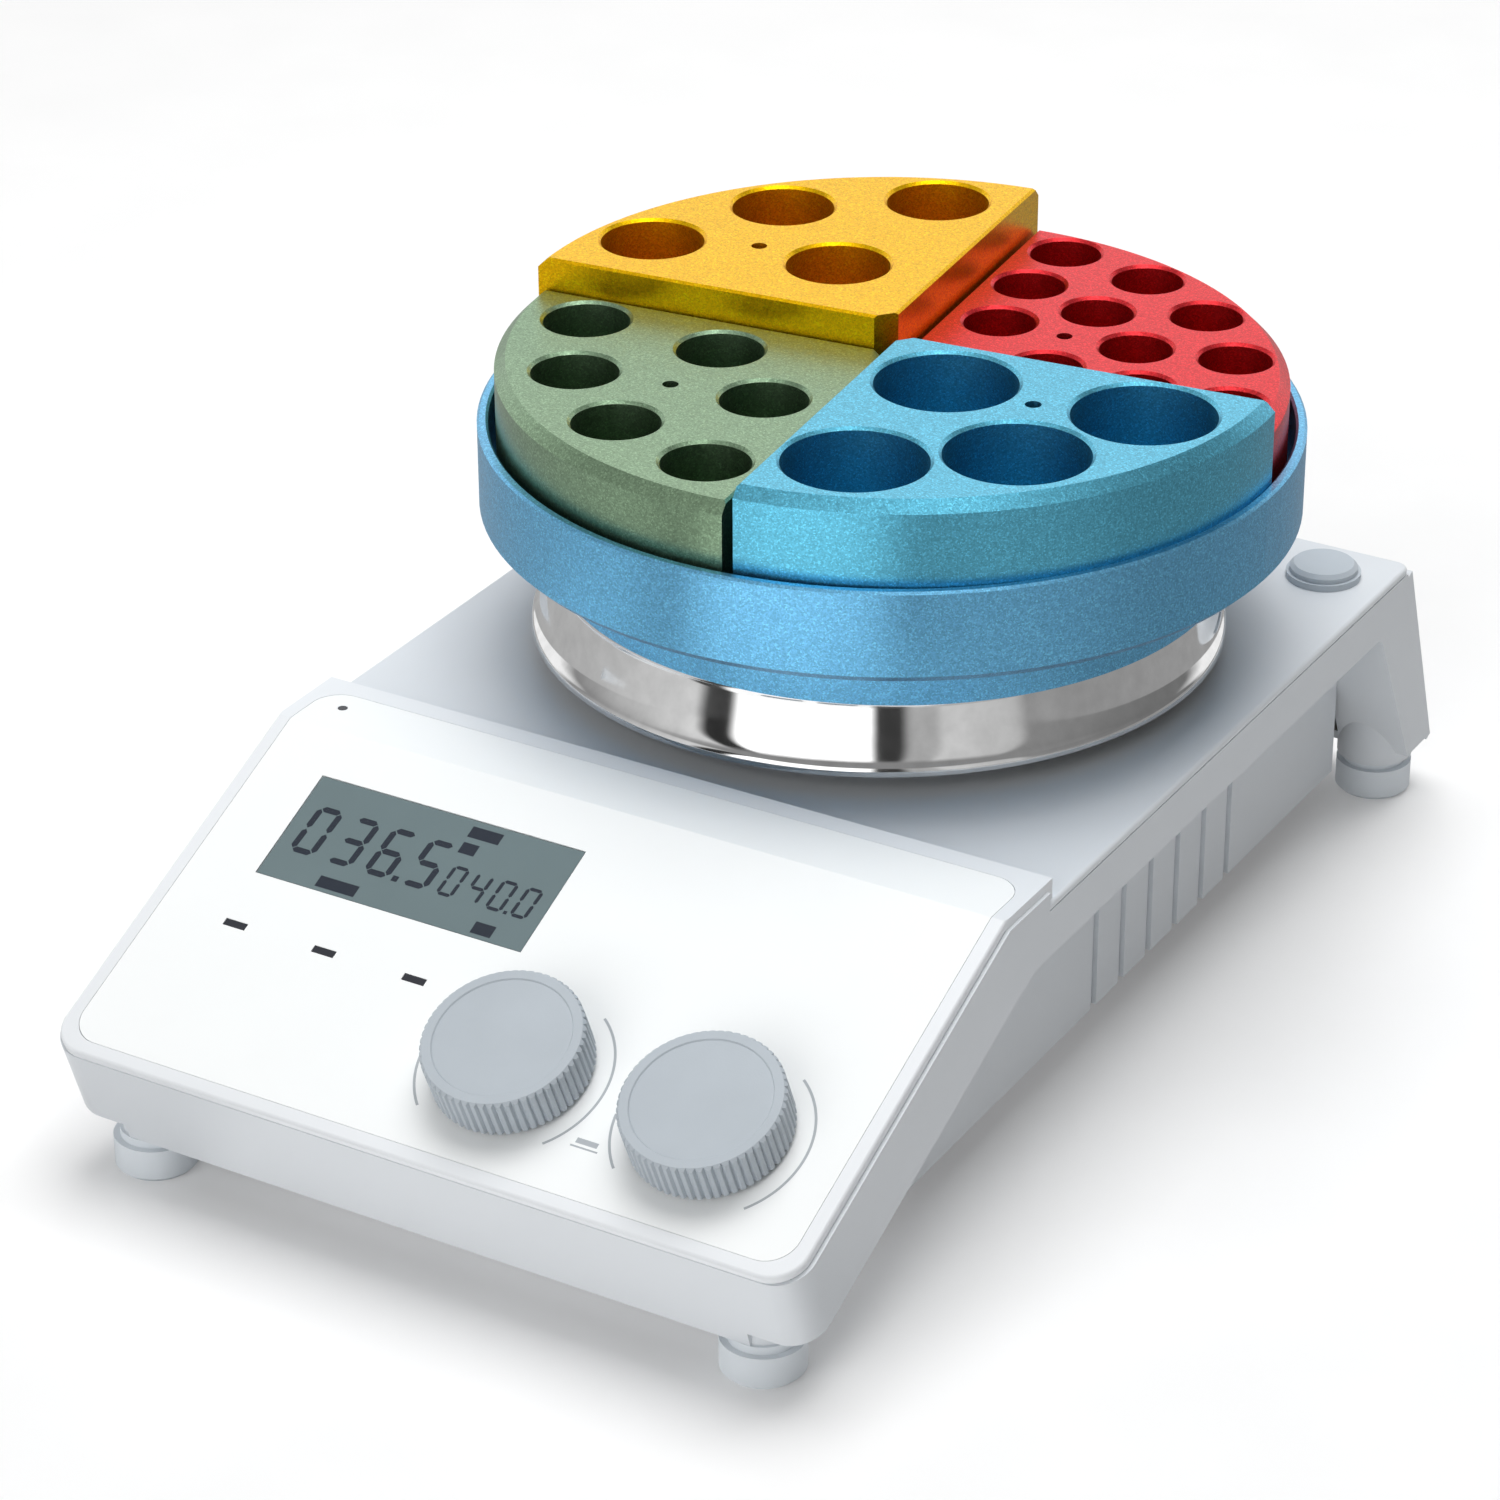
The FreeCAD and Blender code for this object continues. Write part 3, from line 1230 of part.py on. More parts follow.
# Carrier pan: a round pan with a boss that stands on the hot plate
carrier = new_piece("block_carrier", PAN)
turn(carrier, [
    ("0", "plate_top"),
    ("pan_boss_radius", "plate_top"),
    ("pan_boss_radius", "pan_under"),
    ("(pan_radius - pan_bevel)", "pan_under"),
    ("pan_radius", "(pan_under + pan_bevel)"),
    ("pan_radius", "(pan_rim_top - pan_rim_edge)"),
    ("(pan_radius - pan_rim_edge)", "pan_rim_top"),
    ("(pan_inner_radius + pan_rim_edge)", "pan_rim_top"),
    ("pan_inner_radius", "(pan_rim_top - pan_rim_edge)"),
    ("pan_inner_radius", "pan_floor"),
    ("0", "pan_floor"),
])


def ring(colour, circle_radius, step="0"):
    """Wells on a circle, as many as keep their wall, and the angle between the two in the middle."""
    apart = f"(2 * asin(({colour}_well_radius + well_web / 2) / {circle_radius}) / 1 deg)"
    if value(step) > value(apart):
        apart = step
    side = f"(asin((block_gap / 2 + {colour}_well_radius + well_wall) / {circle_radius}) / 1 deg)"
    room = min(value(f"{colour}_middle"), 90 - value(f"{colour}_middle")) - value(side)
    count = int(2 * room / value(apart)) + 1 if room > 0 else 0
    places = []
    for index in range(count):
        angle = f"({colour}_middle + ({index} - {(count - 1) / 2}) * {apart})"
        places.append((f"({circle_radius} * cos({angle}))", f"({circle_radius} * sin({angle}))"))
    between = f"({colour}_middle + {(count % 2) / 2} * {apart})"
    return places, between


def quarter_block(colour, quarter, rings, probe_circle, slip="0"):
    """Quarter-round block with bevelled edges, rings of wells and one probe hole inside a ring."""
    turned = (f"(pan_shift_right + {slip})", "pan_y", "pan_floor"), (0, 0, 1), f"(block_turn + {90 * quarter})"
    body = new_piece(f"{colour}_block", turned)
    tall = f"{colour}_height"
    corner = "(block_gap / 2)"
    sketch = new_sketch(body)
    low, high = value(corner), value(corner) + value("block_radius")
    start, side, end = FreeCAD.Vector(low, low, 0), FreeCAD.Vector(high, low, 0), FreeCAD.Vector(low, high, 0)
    whole = Part.Circle(start, FreeCAD.Vector(0, 0, 1), value("block_radius"))
    sketch.addGeometry(Part.LineSegment(start, side), False)
    sketch.addGeometry(Part.ArcOfCircle(whole, 0, FreeCAD.Units.parseQuantity("90 deg").getValueAs("rad")), False)
    sketch.addGeometry(Part.LineSegment(end, start), False)
    for first, second in ((0, 1), (1, 2), (2, 0)):
        sketch.addConstraint(Sketcher.Constraint("Coincident", first, 2, second, 1))
    sketch.addConstraint(Sketcher.Constraint("Coincident", 1, 3, 0, 1))
    sketch.addConstraint(Sketcher.Constraint("Horizontal", 0))
    sketch.addConstraint(Sketcher.Constraint("Vertical", 2))
    tie(sketch, "Radius", "block_radius", 1)
    tie(sketch, "DistanceX", corner, -1, 1, 0, 1)
    tie(sketch, "DistanceY", corner, -1, 1, 0, 1)
    pad(body, sketch, tall)
    bevel_edges(body, lambda point: near(point.x, corner) and near(point.y, corner), "block_apex")

    def on_arc(point):
        reach = ((point.x - low) ** 2 + (point.y - low) ** 2) ** 0.5
        return near(point.z, tall) and near(reach, "block_radius")
    bevel_edges(body, on_arc, "arc_chamfer")
    bevel_edges(body, lambda point: near(point.z, tall) and min(point.x, point.y) < low + 0.01,
                "straight_chamfer")
    wells = []
    for circle_radius, step in rings.items():
        places, between = ring(colour, circle_radius, step)
        wells += places
        if circle_radius == probe_circle:
            probe_angle = f"({between} + {colour}_probe_turn)"
    drill(body, wells, f"{colour}_well_radius", tall, f"{colour}_well_depth")
    mouths = [(value(across), value(along)) for across, along in wells]

    def on_mouth(point):
        reaches = [((point.x - across) ** 2 + (point.y - along) ** 2) ** 0.5 for across, along in mouths]
        return near(point.z, tall) and any(near(reach, f"{colour}_well_radius") for reach in reaches)
    bevel_edges(body, on_mouth, "mouth_chamfer")
    probe_reach = f"({probe_circle} - {colour}_probe_inset)"
    drill(body, [(f"({probe_reach} * cos({probe_angle}))", f"({probe_reach} * sin({probe_angle}))")],
          "probe_hole_radius", tall, "probe_hole_depth")


quarter_block("red", 0, {"red_outer_circle": "red_outer_step", "red_middle_circle": "red_middle_step",
                         "red_inner_circle": "red_inner_step"}, "red_middle_circle")
quarter_block("gold", 1, {"gold_outer_circle": "gold_outer_step", "gold_inner_circle": "0"}, "gold_outer_circle")
quarter_block("green", 2, {"green_outer_circle": "green_outer_step", "green_inner_circle": "green_inner_step"},
              "green_outer_circle")
quarter_block("blue", 3, {"blue_outer_circle": "blue_outer_step", "blue_inner_circle": "0"}, "blue_outer_circle",
              "blue_slip")

# Every object must have come out whole before anything is written
doc.recompute()
for item in doc.Objects:
    if "Invalid" in item.State or "Error" in item.State:
        raise RuntimeError(f"{item.Label}: {item.State}")
for piece in pieces:
    if piece.Shape.isNull() or not piece.Shape.isValid() or not piece.Shape.Solids:
        raise RuntimeError(f"{piece.Label}: shape is not whole")

os.makedirs("parts", exist_ok=True)
for piece in pieces:
    piece.Shape.exportStep(f"parts/{piece.Label}.step")
    box = piece.Shape.BoundBox
    corners = f"x {box.XMin:.1f} {box.XMax:.1f} y {box.YMin:.1f} {box.YMax:.1f} z {box.ZMin:.1f} {box.ZMax:.1f}"
    print(f"{piece.Label}: {len(piece.Shape.Solids)} solid(s), {piece.Shape.Volume:.0f} mm3, {corners}")
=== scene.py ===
import json
import math

import bmesh
import bpy
from mathutils import Matrix, Vector


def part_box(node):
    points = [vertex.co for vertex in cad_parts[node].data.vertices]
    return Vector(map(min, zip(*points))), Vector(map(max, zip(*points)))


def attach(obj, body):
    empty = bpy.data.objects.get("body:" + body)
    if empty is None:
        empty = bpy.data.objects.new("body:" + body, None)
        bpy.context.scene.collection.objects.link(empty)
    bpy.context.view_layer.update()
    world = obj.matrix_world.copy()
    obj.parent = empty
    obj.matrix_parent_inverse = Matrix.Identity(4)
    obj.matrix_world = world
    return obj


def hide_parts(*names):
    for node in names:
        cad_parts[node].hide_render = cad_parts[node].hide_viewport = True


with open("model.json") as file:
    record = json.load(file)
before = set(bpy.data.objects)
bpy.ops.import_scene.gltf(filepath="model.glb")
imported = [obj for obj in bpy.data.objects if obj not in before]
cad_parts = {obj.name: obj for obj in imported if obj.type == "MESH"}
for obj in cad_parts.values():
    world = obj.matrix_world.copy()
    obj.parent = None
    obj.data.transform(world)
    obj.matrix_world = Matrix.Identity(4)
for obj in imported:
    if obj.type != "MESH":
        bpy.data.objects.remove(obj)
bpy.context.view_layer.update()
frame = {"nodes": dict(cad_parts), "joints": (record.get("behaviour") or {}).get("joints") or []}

nodes = frame["nodes"]
joints = {joint["name"]: joint for joint in frame["joints"]}
MM = 0.001

# Control panel coordinates: sideways, down the slope from the bend, and out of the surface
KNOB_DOWN = 59.1
panel_out = Vector(joints["left_knob_turn"]["axis"]).normalized()
panel_down = Vector((1, 0, 0)).cross(panel_out)
knob_foot = Vector(joints["left_knob_turn"]["pos_m"])
bend = Vector((0, knob_foot.y, knob_foot.z)) - panel_down * KNOB_DOWN * MM


def on_panel(across, down, out):
    """Point of the panel, given in millimetres."""
    return bend + Vector((across, 0, 0)) * MM + panel_down * down * MM + panel_out * out * MM


def colour(red, green, blue):
    """Linear colour from the usual 0 to 255 steps."""
    steps = [step / 255 for step in (red, green, blue)]
    linear = [s / 12.92 if s <= 0.04045 else ((s + 0.055) / 1.055) ** 2.4 for s in steps]
    return (*linear, 1.0)


def shade(tint, factor):
    """The tint, darker or paler."""
    return (*[min(1.0, part * factor) for part in tint[:3]], 1.0)


# Materials: every one is built from its own textures, in object coordinates
def start_material(name):
    made = bpy.data.materials.new(name)
    made.use_nodes = True
    tree = made.node_tree
    shader = tree.nodes["Principled BSDF"]
    place = tree.nodes.new("ShaderNodeTexCoord")
    return made, tree, shader, place.outputs["Object"]


def noise(tree, place, scale, detail=3.0, stretch=None):
    texture = tree.nodes.new("ShaderNodeTexNoise")
    texture.inputs["Scale"].default_value = scale
    texture.inputs["Detail"].default_value = detail
    if stretch:
        mapping = tree.nodes.new("ShaderNodeMapping")
        mapping.inputs["Scale"].default_value = stretch
        tree.links.new(place, mapping.inputs["Vector"])
        place = mapping.outputs["Vector"]
    tree.links.new(place, texture.inputs["Vector"])
    return texture.outputs["Fac"]


def cells(tree, place, scale):
    """One random grey for each small cell, as the facets of a blasted surface."""
    texture = tree.nodes.new("ShaderNodeTexVoronoi")
    texture.inputs["Scale"].default_value = scale
    tree.links.new(place, texture.inputs["Vector"])
    split = tree.nodes.new("ShaderNodeSeparateColor")
    tree.links.new(texture.outputs["Color"], split.inputs["Color"])
    return split.outputs["Red"]


def ramp(tree, factor, stops):
    """Colours spread over a factor."""
    spread = tree.nodes.new("ShaderNodeValToRGB")
    spread.color_ramp.elements[0].position = stops[0][0]
    spread.color_ramp.elements[0].color = stops[0][1]
    spread.color_ramp.elements[1].position = stops[-1][0]
    spread.color_ramp.elements[1].color = stops[-1][1]
    for position, tint in stops[1:-1]:
        spread.color_ramp.elements.new(position).color = tint
    tree.links.new(factor, spread.inputs["Fac"])
    return spread.outputs["Color"]


def two_tone(tree, factor, tint, spread, margin=0.3):
    """A tint that goes from a darker to a paler tone of itself."""
    return ramp(tree, factor, [(margin, shade(tint, spread[0])), (1 - margin, shade(tint, spread[1]))])


def between(tree, factor, low, high):
    """A factor brought to a range."""
    mapped = tree.nodes.new("ShaderNodeMapRange")
    mapped.inputs["To Min"].default_value = low
    mapped.inputs["To Max"].default_value = high
    tree.links.new(factor, mapped.inputs["Value"])
    return mapped.outputs["Result"]


def bump(tree, shader, height, strength, distance):
    node = tree.nodes.new("ShaderNodeBump")
    node.inputs["Strength"].default_value = strength
    node.inputs["Distance"].default_value = distance
    tree.links.new(height, node.inputs["Height"])
    tree.links.new(node.outputs["Normal"], shader.inputs["Normal"])


def painted(name, tint, grain=1400, rough=(0.34, 0.46), depth=0.00003, spread=(0.98, 1.01)):
    """Coated metal with a faint orange-peel skin."""
    made, tree, shader, place = start_material(name)
    broad = noise(tree, place, scale=18, detail=4)
    tree.links.new(two_tone(tree, broad, tint, spread), shader.inputs["Base Color"])
    tree.links.new(between(tree, noise(tree, place, scale=160), *rough), shader.inputs["Roughness"])
    bump(tree, shader, noise(tree, place, scale=grain, detail=2), strength=0.25, distance=depth)
    shader.inputs["Specular IOR Level"].default_value = 0.4
    return made


def moulded(name, tint, grain=2600, rough=(0.42, 0.58), depth=0.00005, spread=(0.96, 1.03), gloss=0.35):
    """Moulded plastic or rubber with a fine even texture."""
    made, tree, shader, place = start_material(name)
    broad = noise(tree, place, scale=60, detail=5)
    tree.links.new(two_tone(tree, broad, tint, spread), shader.inputs["Base Color"])
    tree.links.new(between(tree, noise(tree, place, scale=500), *rough), shader.inputs["Roughness"])
    bump(tree, shader, noise(tree, place, scale=grain, detail=2), strength=0.35, distance=depth)
    shader.inputs["Specular IOR Level"].default_value = gloss
    return made


def anodised(name, tint, painted_glint=0.3, rough=(0.27, 0.44), grain=3600):
    """Bead-blasted and dyed aluminium: small cells of the base colour made paler or darker at random, a
    painted glint of facets that catch the light one by one.
    """
    made, tree, shader, place = start_material(name)
    facet = cells(tree, place, grain)
    # Painted glint: the palest cells stand in for facets catching the light, the darker ones for facets
    # turned away from it
    stops = [(0.0, shade(tint, 1 - painted_glint)), (0.8, tint), (1.0, shade(tint, 1 + painted_glint))]
    tree.links.new(ramp(tree, facet, stops), shader.inputs["Base Color"])
    sheen = between(tree, noise(tree, place, scale=900, detail=4), *rough)
    tree.links.new(sheen, shader.inputs["Roughness"])
    bump(tree, shader, noise(tree, place, scale=grain * 0.6), strength=0.35, distance=0.00006)
    shader.inputs["Metallic"].default_value = 1.0
    return made


def metal(name, tint, rough=(0.18, 0.32), stretch=(1, 1, 1), grain=500, depth=0.00001):
    """Bare metal, brushed along the axis with the smallest stretch."""
    made, tree, shader, place = start_material(name)
    lines = noise(tree, place, scale=grain, detail=4, stretch=stretch)
    tree.links.new(two_tone(tree, lines, tint, (0.9, 1.05), margin=0.25), shader.inputs["Base Color"])
    tree.links.new(between(tree, lines, *rough), shader.inputs["Roughness"])
    bump(tree, shader, lines, strength=0.2, distance=depth)
    shader.inputs["Metallic"].default_value = 1.0
    return made


def clear(name, tint, alpha):
    """Clear plastic with faint dust in its gloss."""
    made, tree, shader, place = start_material(name)
    dust = noise(tree, place, scale=90)
    tree.links.new(two_tone(tree, dust, tint, (0.95, 1.0)), shader.inputs["Base Color"])
    sheen = between(tree, noise(tree, place, scale=400), low=0.05, high=0.12)
    tree.links.new(sheen, shader.inputs["Roughness"])
    shader.inputs["Specular IOR Level"].default_value = 0.15
    shader.inputs["Alpha"].default_value = alpha
    return made


def circuit(name, tint):
    """Circuit board: coated laminate with paler tracks."""
    made, tree, shader, place = start_material(name)
    tracks = tree.nodes.new("ShaderNodeTexBrick")
    tracks.inputs["Scale"].default_value = 120
    tracks.inputs["Mortar Size"].default_value = 0.05
    tracks.inputs["Color1"].default_value = tint
    tracks.inputs["Color2"].default_value = shade(tint, 0.85)
    tracks.inputs["Mortar"].default_value = shade(tint, 1.8)
    tree.links.new(place, tracks.inputs["Vector"])
    tree.links.new(tracks.outputs["Color"], shader.inputs["Base Color"])
    sheen = between(tree, noise(tree, place, scale=300), low=0.3, high=0.45)
    tree.links.new(sheen, shader.inputs["Roughness"])
    return made


body_grey = painted("body_coat", colour(219, 223, 227))
cover_grey = painted("cover_coat", colour(222, 226, 230))
frame_grey = painted("frame_coat", colour(230, 233, 236))
overlay_white = moulded("overlay_sheet", colour(244, 246, 246), grain=3800, rough=(0.45, 0.55),
                        depth=0.00002, spread=(0.992, 1.004))
knob_grey = moulded("knob_plastic", colour(178, 186, 193), rough=(0.45, 0.6))
foot_grey = moulded("foot_rubber", colour(226, 232, 237), rough=(0.5, 0.65))
plug_grey = moulded("plug_plastic", colour(188, 196, 203))
black = moulded("black_plastic", colour(34, 35, 37))
smoked = moulded("smoked_lens", colour(52, 54, 60), rough=(0.15, 0.25), depth=0.00001)
ink_grey = moulded("printed_grey", colour(172, 177, 182))
liquid = moulded("display_cell", colour(106, 122, 125), grain=5200, rough=(0.25, 0.35),
                 depth=0.00001, gloss=0.1)
segment_ink = moulded("display_segments", colour(20, 25, 42), grain=5200, rough=(0.3, 0.4),
                      depth=0.00001, gloss=0.1)
window_clear = clear("window_clear", colour(205, 220, 222), 0.04)
polished = metal("polished_steel", colour(226, 226, 226), rough=(0.05, 0.09), grain=260, depth=0.000002)
steel = metal("plain_steel", colour(186, 187, 190), rough=(0.25, 0.4))
brass = metal("turned_brass", colour(206, 166, 92), rough=(0.2, 0.35), stretch=(1, 1, 8))
bare = metal("bare_aluminium", colour(205, 206, 208), rough=(0.3, 0.45))
board_green = circuit("board_laminate", colour(22, 92, 52))
fibre = moulded("pressed_fibre", colour(222, 214, 192), grain=700, rough=(0.85, 0.95), depth=0.0004)
mica = moulded("mica_sheet", colour(176, 152, 106), grain=400, rough=(0.3, 0.5), depth=0.0001)
magnet_dark = metal("ground_magnet", colour(92, 93, 98), rough=(0.3, 0.45))
gold = anodised("gold_anodised", colour(255, 196, 16))
green = anodised("green_anodised", colour(143, 171, 140))
blue = anodised("blue_anodised", colour(104, 193, 222))
red = anodised("red_anodised", colour(230, 58, 64))
pan_blue = anodised("pan_anodised", colour(121, 195, 238))

FINISH = {
    body_grey: ["lower_housing", "rear_panel"],
    cover_grey: ["top_cover"],
    frame_grey: ["panel_frame"],
    overlay_white: ["panel_overlay"],
    knob_grey: ["left_knob", "right_knob"],
    foot_grey: ["foot_front_left", "foot_front_right", "foot_rear_left", "foot_rear_right"],
    plug_grey: ["rod_plug"],
    black: ["power_inlet", "fuse_drawer", "power_switch_frame", "power_switch_rocker", "thermal_cutout",
            "left_encoder", "right_encoder", "left_switch_plunger", "right_switch_plunger"],
    smoked: ["indicator_lens_left", "indicator_lens_middle", "indicator_lens_right", "power_lens"],
    liquid: ["display_module"],
    window_clear: ["display_window"],
    polished: ["hot_plate_shell"],
    steel: ["bottom_plate", "bottom_screws", "foot_screws", "board_screws", "rear_screws", "heat_shield",
            "plate_pillars", "plate_sensor", "motor_bracket", "stirring_motor", "motor_spindle",
            "left_knob_shaft", "right_knob_shaft", "rod_socket", "data_socket"],
    brass: ["probe_socket"],
    bare: ["plate_core", "magnet_rotor"],
    board_green: ["control_board", "power_board"],
    fibre: ["insulation_ring"],
    mica: ["heating_element"],
    magnet_dark: ["drive_magnets"],
    gold: ["gold_block"],
    green: ["green_block"],
    blue: ["blue_block"],
    red: ["red_block"],
    pan_blue: ["block_carrier"],
}
for finish, names in FINISH.items():
    for name in names:
        mesh = nodes[name].data
        mesh.materials.clear()
        mesh.materials.append(finish)


def placed(mesh, name, finish):
    """Object made of a finished mesh, with one material."""
    bmesh.ops.recalc_face_normals(mesh, faces=mesh.faces)
    data = bpy.data.meshes.new(name)
    mesh.to_mesh(data)
    mesh.free()
    piece = bpy.data.objects.new(name, data)
    bpy.context.scene.collection.objects.link(piece)
    data.materials.append(finish)
    return piece


# Printed marks and display figures, laid on the panel as thin plates
def plate_piece(name, outlines, out, thick, finish):
    """One piece made of flat outlines in panel coordinates."""
    mesh = bmesh.new()
    for outline in outlines:
        low = [mesh.verts.new(on_panel(across, down, out)) for across, down in outline]
        high = [mesh.verts.new(on_panel(across, down, out + thick)) for across, down in outline]
        mesh.faces.new(high)
        mesh.faces.new(list(reversed(low)))
        for index in range(len(outline)):
            after = (index + 1) % len(outline)
            mesh.faces.new([low[index], low[after], high[after], high[index]])
    piece = placed(mesh, name, finish)
    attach(piece, "base")


def oblong(across, down, width, height):
    """Outline of an oblong, given by its middle."""
    half, tall = width / 2, height / 2
    return [(across - half, down - tall), (across + half, down - tall),
            (across + half, down + tall), (across - half, down + tall)]


def arc_strip(across, down, radius, start, end, width=0.5, steps=40):
    """Thin strip round a knob; angles run from the right, turning down the slope."""
    inner, outer = [], []
    for index in range(steps + 1):
        angle = math.radians(start + (end - start) * index / steps)
        for edge, reach in ((inner, radius - width / 2), (outer, radius + width / 2)):
            edge.append((across + reach * math.cos(angle), down + reach * math.sin(angle)))
    return outer + list(reversed(inner))


INK_THICK = 0.02
ARC_RADIUS = 18.5
ARC_SPANS = [(-56, 44), (134.5, 172)]
arcs = []
for side in ("left", "right"):
    knob_x = joints[f"{side}_knob_turn"]["pos_m"][0] / MM
    for start, end in ARC_SPANS:
        arcs.append(arc_strip(knob_x, KNOB_DOWN, ARC_RADIUS, start, end))
plate_piece("printed_arcs", arcs, 0.0, INK_THICK, ink_grey)
push_mark = [oblong(30.2, 69.1, width=4.4, height=1.1), oblong(30.2, 70.4, width=5.6, height=0.35)]
plate_piece("printed_push_mark", push_mark, 0.0, INK_THICK, ink_grey)

# Seven-segment figures: which bars of a figure are dark
BARS = {"0": "abcdef", "1": "bc", "2": "abdeg", "3": "abcdg", "4": "bcfg", "5": "acdfg",
        "6": "acdefg", "7": "abc", "8": "abcdefg", "9": "abcdfg"}
BAR_GAP = 0.12


def bar(start, end, width):
    """Bar with pointed ends between two points."""
    begin, finish = Vector(start), Vector(end)
    along = (finish - begin).normalized() * width / 2
    across = Vector((-along.y, along.x))
    points = [begin, begin + along + across, finish - along + across, finish,
              finish - along - across, begin + along - across]
    return [tuple(point) for point in points]


def figure(sign, left, top, wide, tall, width, slant=0.05):
    """Dark bars of one figure; its top leans to the right."""
    corner = {}
    for row, level in enumerate((0, tall / 2, tall)):
        lean = slant * (tall - level)
        corner["left", row] = (left + lean, top + level)
        corner["right", row] = (left + wide + lean, top + level)
    ends = {"a": (("left", 0), ("right", 0)), "b": (("right", 0), ("right", 1)),
            "c": (("right", 1), ("right", 2)), "d": (("left", 2), ("right", 2)),
            "e": (("left", 1), ("left", 2)), "f": (("left", 0), ("left", 1)),
            "g": (("left", 1), ("right", 1))}
    gap = width * BAR_GAP
    shapes = []
    for letter in BARS[sign]:
        begin, finish = (Vector(corner[key]) for key in ends[letter])
        trim = (finish - begin).normalized() * gap
        shapes.append(bar(begin + trim, finish - trim, width))
    return shapes


def reading(digits, left, top, wide, tall, pitch, width, point_after):
    """Row of figures with a point after one of them."""
    shapes = []
    for index, sign in enumerate(digits):
        shapes += figure(sign, left + index * pitch, top, wide, tall, width)
    dot_x = left + point_after * pitch - (pitch - wide) / 2
    shapes.append(oblong(dot_x, top + tall, width, width))
    return shapes


# The cell's film lies right under the face of the window, with the figures on it
FILM_FACE = -0.12
FILM_THICK = 0.3
film = oblong(-32.7, 23.1, width=58.8, height=24.6)
plate_piece("display_film", [film], FILM_FACE - FILM_THICK, FILM_THICK, liquid)
segments = reading("0365", left=-58.6, top=17.8, wide=4.5, tall=10.3, pitch=8.44, width=1.3,
                   point_after=3)
segments += reading("0400", left=-25.7, top=21.8, wide=2.9, tall=6.5, pitch=5.4, width=0.75,
                    point_after=3)
segments += [oblong(-23.7, 13.4, width=6.8, height=2.6), oblong(-25.2, 17.3, width=3.5, height=2.6),
             oblong(-45.1, 33.3, width=8.7, height=2.6), oblong(-12.7, 33.2, width=4.4, height=2.7)]
plate_piece("display_figures", segments, FILM_FACE, INK_THICK, segment_ink)

# Hot plate skin, spun with a smooth hollow curve between its neck and its lip, in millimetres
PLATE_SKIN = 1.3
PLATE_NECK = 65.1
PLATE_EDGE = 1.2
FLANK_HIGH = 12.6
FLANK_LOW = 1.9
NECK_SLOPE = math.tan(math.radians(15))
LIP_LEAN = math.radians(48)
LIP_ROUND = 1.6
FLARE_POWER = 8
SKIRT_INSIDE = 63.9
SKIRT_HIGH = 6.0
TOP_MARGIN = 0.3
SPIN_STEPS = 192
FLANK_STEPS = 40
EDGE_STEPS = 6
LIP_STEPS = 8


def plate_profile(radius, height):
    """Rings of the skin as radius, height and whether the ring is a sharp edge."""
    fall = FLANK_HIGH - FLANK_LOW
    flare = (math.tan(LIP_LEAN) - NECK_SLOPE) / (FLARE_POWER + 1)
    rings = [(PLATE_NECK - PLATE_EDGE - TOP_MARGIN, height, False)]
    for index in range(EDGE_STEPS + 1):
        angle = math.pi / 2 * (1 - index / EDGE_STEPS)
        rings.append((PLATE_NECK - PLATE_EDGE * (1 - math.cos(angle)),
                      height - PLATE_EDGE * (1 - math.sin(angle)), False))
    for index in range(FLANK_STEPS + 1):
        share = index / FLANK_STEPS
        reach = NECK_SLOPE * share + flare * share ** (FLARE_POWER + 1)
        rings.append((PLATE_NECK + fall * reach, FLANK_HIGH - fall * share, False))
    for index in range(1, LIP_STEPS + 1):
        lean = LIP_LEAN * (1 - index / LIP_STEPS)
        rings.append((radius - LIP_ROUND * (1 - math.cos(lean)),
                      FLANK_LOW - LIP_ROUND * (math.sin(LIP_LEAN) - math.sin(lean)), False))
    rings += [(radius, 0.0, True), (radius - PLATE_SKIN, 0.0, True), (SKIRT_INSIDE, SKIRT_HIGH, False),
              (SKIRT_INSIDE, height - PLATE_SKIN, True)]
    return rings


def spun_piece(name, rings, middle, finish):
    """Closed piece spun from its rings, from the middle of its top to the middle of its underside."""
    mesh = bmesh.new()
    loops = []
    for radius, level, sharp in rings:
        loop = []
        for index in range(SPIN_STEPS):
            angle = 2 * math.pi * index / SPIN_STEPS
            reach = Vector((radius * math.cos(angle), radius * math.sin(angle), level)) * MM
            loop.append(mesh.verts.new(middle + reach))
        loops.append(loop)
    for upper, lower in zip(loops, loops[1:]):
        for index in range(SPIN_STEPS):
            after = (index + 1) % SPIN_STEPS
            mesh.faces.new([upper[index], lower[index], lower[after], upper[after]]).smooth = True
    mesh.faces.new(loops[0]).smooth = True
    mesh.faces.new(list(reversed(loops[-1]))).smooth = True
    for loop, (radius, level, sharp) in zip(loops, rings):
        if sharp:
            for index in range(SPIN_STEPS):
                mesh.edges.get([loop[index], loop[(index + 1) % SPIN_STEPS]]).smooth = False
    return placed(mesh, name, finish)


shell_low, shell_high = (Vector(corner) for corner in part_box("hot_plate_shell"))
shell_middle = Vector(((shell_low.x + shell_high.x) / 2, (shell_low.y + shell_high.y) / 2, shell_low.z))
shell_size = (shell_high - shell_low) / MM
plate_rings = plate_profile(shell_size.x / 2, shell_size.z)
plate_skin = spun_piece("hot_plate_skin", plate_rings, shell_middle, polished)
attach(plate_skin, "base")
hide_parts("hot_plate_shell")

